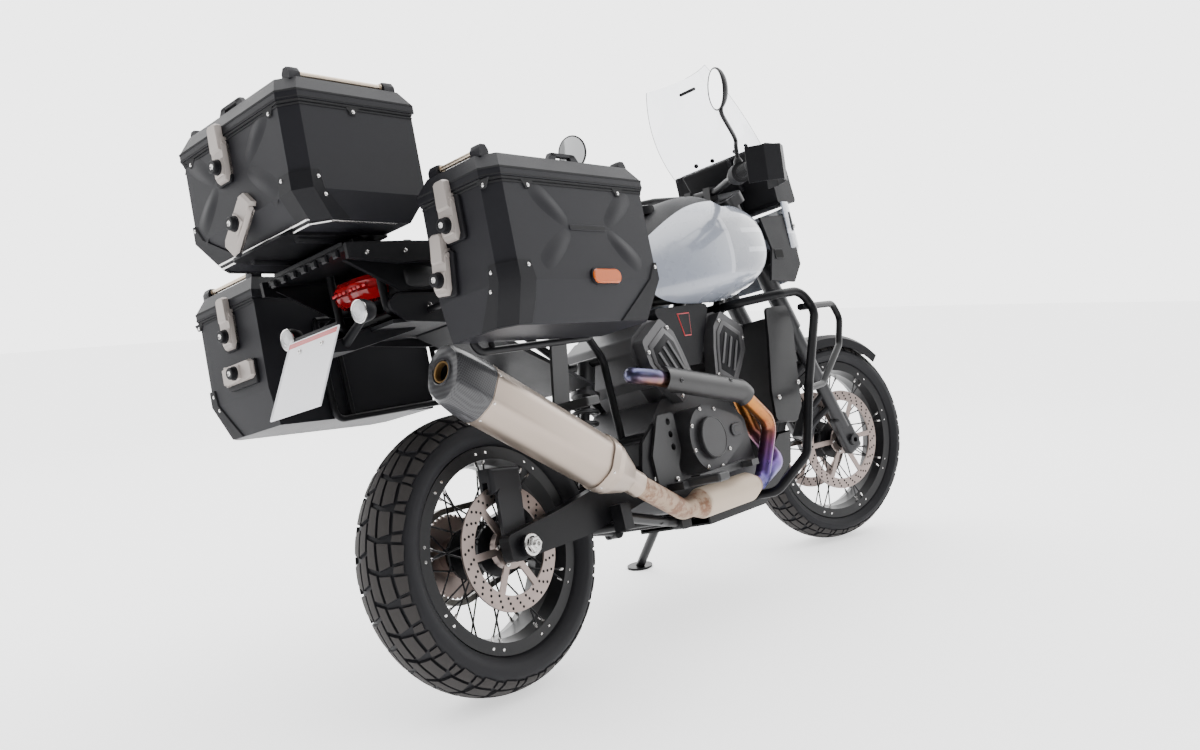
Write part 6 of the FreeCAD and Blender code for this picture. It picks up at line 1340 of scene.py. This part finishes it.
def grip_line(side):
    """End of the handlebar and the direction inward along its grip."""
    stem = Vector((-math.sin(RAKE), 0, math.cos(RAKE)))
    foot = Vector((WHEELBASE, 0, FRONT_RADIUS)) - Vector((math.cos(RAKE), 0, math.sin(RAKE))) * FORK_OFFSET
    clamp = foot + stem * CLAMP_HEIGHT + X * CLAMP_AHEAD + Z * CLAMP_RISE
    end = clamp + Vector((-BAR_DROP_BACK, side * BAR_HALF, BAR_END_RISE))
    bend = clamp + Vector((-BAR_DROP_BACK * 0.2, side * BAR_HALF * BAR_BEND_SHARE, BAR_BEND_RISE))
    return end, (bend - end).normalized()


def mirrors():
    """Round mirrors turned towards the rider, on bent stems."""
    shell, glass_bm = bmesh.new(), bmesh.new()
    angles = (0.0, 0.2, 0.45, 0.7, 0.95, 1.2, 1.4)
    curve = [(0.0570 * math.cos(angle), -0.026 * math.sin(angle)) for angle in angles]
    bowl = [(0.0552, 0.0)] + curve + [(0, -0.026)]
    for side in (-1, 1):
        centre = Vector((MIRROR_X + side * MIRROR_STAGGER, side * MIRROR_HALF, MIRROR_Z))
        where = facing(centre, Matrix.Rotation(side * MIRROR_TURN, 3, "Z") @ -X, Z)
        lathe(shell, bowl, where, 44)
        lathe(shell, ((0.0552, 0.0), (0.0566, 0.0016), (0.0540, 0.0032), (0.0522, 0.0016)), where, 44)
        lathe(glass_bm, ((0.0524, 0.0016), (0.035, 0.0021), (0.017, 0.0024), (0, 0.0025)), where, 44)
        end, way = grip_line(side)
        base = end + way * 0.156 + Z * 0.0293
        knee = Vector((base.x, base.y, base.z + (centre.z - base.z) * 0.4))
        low = centre - Z * 0.050 + X * 0.009
        hose(shell, [base, base + (knee - base) * 0.6, knee, low + Z * -0.02, low], 0.0060)
        lathe(shell, ((0, -0.004), (0.013, -0.004), (0.013, 0.006), (0.0085, 0.014), (0, 0.014)),
              facing(base, Z), 18)
    add_piece("mirror_shells", shell, "mirror_shell", "steering", place=STEERED, instead_of=("mirrors",))
    add_piece("mirror_glass", glass_bm, "mirror_silver", "steering", STEERED)


def windscreen_trim():
    """Dark slot near the top of the screen and its mounting bolts."""
    body, names = body_of("windscreen"), ("windscreen",)
    bm = bmesh.new()
    rounded_slab(bm, facing(*cast((1.0, 0, 1.508), X, names), Y), 0.064, 0.010, 0.0012, 0.0048, 0.0004)
    add_piece("screen_slot", bm, "dark_plastic", body)
    seats = [((1.9, y, 1.30), -X, names) for y in (-0.10, -0.045, 0.045, 0.10)]
    seated_heads("screen_bolts", seats, 0.0075, 0.004, "spring_metal", body)


def grip_ribs():
    """Moulded ribs, end and flange of the grips, and switch buttons, set along the grips' own line."""
    bm = bmesh.new()
    ribs, pitch = 15, 0.0072
    for side in (-1, 1):
        end, way = grip_line(side)
        lathe(bm, ((0, -0.010), (0.0150, -0.010), (0.0178, -0.006), (0.0178, 0.0015), (0, 0.0015)),
              facing(end, way), 20)
        for k in range(ribs):
            at = end + way * (0.010 + k * pitch)
            lathe(bm, ((0.0168, 0), (0.0181, 0.0008), (0.0181, 0.0032), (0.0168, 0.0040)),
                  facing(at, way), 18)
        lathe(bm, ((0.0168, -0.004), (0.0215, -0.002), (0.0215, 0.0015), (0.0168, 0.002)),
              facing(end + way * 0.1225, way), 22)
        for across, length, width in ((0.0, 0.020, 0.012), (0.012, 0.012, 0.009)):
            spot = end + way * (0.150 + across) + Z * 0.0285
            slab(bm, facing(spot, Z + X * -0.35, way), length, width, 0.004, 0.001)
    add_piece("grip_ribs", bm, "grip_rubber", body_of("grips"), place=STEERED)


# Tank, seat and bolts

def tank_trim():
    """Filler cap with its latch and screws."""
    bm = bmesh.new()
    where = facing(cast((0.870, 0, 1.4), -Z, ("tank_centre", "fuel_tank"))[0], Z)
    lathe(bm, ((0.040, -0.001), (0.040, 0.0022), (0.037, 0.0036), (0.030, 0.0038), (0.0285, 0.0022),
               (0, 0.0022)), where, 40)
    slab(bm, where @ moved(z=0.002), 0.030, 0.010, 0.0052, 0.0015)
    for k in range(6):
        angle = 2 * math.pi * k / 6 + 0.3
        spot = moved(0.034 * math.cos(angle), 0.034 * math.sin(angle), 0.0034)
        button_head(bm, where @ spot, 0.0026, 0.0016)
    add_piece("filler_cap", bm, "spring_metal")


def padded_seats():
    """Seat pads swollen by a cloth pass."""
    mesh = frame["nodes"]["seats"].data.copy()
    mesh.materials.clear()
    mesh.materials.append(FINISH["seat_skin"])
    pad = bpy.data.objects.new("seat_pads", mesh)
    bpy.context.collection.objects.link(pad)
    smooth_pad(pad)
    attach(pad, body_of("seats"))
    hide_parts("seats")


def smooth_pad(pad):
    """Even mesh, swollen a little by cloth pressure, then smoothed."""
    voxel, sink, limit, frames, pressure = 0.006, 0.0025, 0.006, 20, 4.0
    bpy.context.view_layer.objects.active = pad
    remesh = pad.modifiers.new("remesh", "REMESH")
    remesh.mode, remesh.voxel_size = "VOXEL", voxel
    apply_modifiers(pad)
    places = [(v.co.copy(), v.normal.copy()) for v in pad.data.vertices]
    for vertex, (place, normal) in zip(pad.data.vertices, places):
        vertex.co = place - normal * sink
    rest = [v.co.copy() for v in pad.data.vertices]
    cloth = pad.modifiers.new("cloth", "CLOTH")
    cloth.settings.use_pressure = True
    cloth.settings.uniform_pressure_force = pressure
    cloth.settings.effector_weights.gravity = 0
    cloth.settings.quality = 4
    cloth.point_cache.frame_start, cloth.point_cache.frame_end = 1, frames
    for number in range(1, frames + 1):
        bpy.context.scene.frame_set(number)
    apply_modifiers(pad)
    bpy.context.scene.frame_set(1)
    for vertex, place in zip(pad.data.vertices, rest):
        shift = vertex.co - place
        if shift.length > limit:
            vertex.co = place + shift.normalized() * limit
    relax = pad.modifiers.new("relax", "SMOOTH")
    relax.factor, relax.iterations = 0.5, 6
    apply_modifiers(pad)
    pad.data.polygons.foreach_set("use_smooth", [True] * len(pad.data.polygons))


def apply_modifiers(shape):
    graph = bpy.context.evaluated_depsgraph_get()
    mesh = bpy.data.meshes.new_from_object(shape.evaluated_get(graph), depsgraph=graph)
    old = shape.data
    shape.modifiers.clear()
    shape.data = mesh
    bpy.data.meshes.remove(old)


def frame_bolts():
    """Bolts of the pegs, hangers, shrouds, tail and nose."""
    far, peg = 0.6, 0.5
    hanger = ("mid_frame", "swingarm")
    seats = [((0.235, -peg, 0.585), Y, ("footpegs",)), ((0.235, peg, 0.585), -Y, ("footpegs",)),
             ((0.545, -peg, 0.360), Y, ("footpegs", "mid_frame")),
             ((0.470, -peg, 0.375), Y, hanger), ((0.470, peg, 0.375), -Y, hanger)]
    for side in (-1, 1):
        for names, spots in (
                (("radiator_shrouds",), ((1.03, 0.50), (1.15, 0.53), (1.04, 0.70))),
                (("tail_fairing",), ((0.05, 0.86), (0.30, 0.86), (-0.10, 0.87))),
                (("nose_stay", "nose_cowl"), ((1.20, 1.02), (1.20, 0.87), (1.36, 0.86), (1.40, 1.01)))):
            seats += [((x, side * far, z), Y * -side, names) for x, z in spots]
    seated_heads("frame_bolts", seats, 0.0072, 0.0045, "bright_steel")


def main():
    camera()
    finishes()
    studio()
    floor()
    dress_cad()
    for build in (
            tyres, wheels, discs, axle_ends, case_trim, lid_furniture, clasp_bodies, latches, case_reflector,
            indicators, number_plate, tail_lamp, exhaust_trim, silencer, rack_rails, side_panels,
            head_cover_trim, clutch_boss, engine_trim, mirrors, windscreen_trim, grip_ribs, tank_trim,
            frame_bolts, padded_seats):
        build()


main()
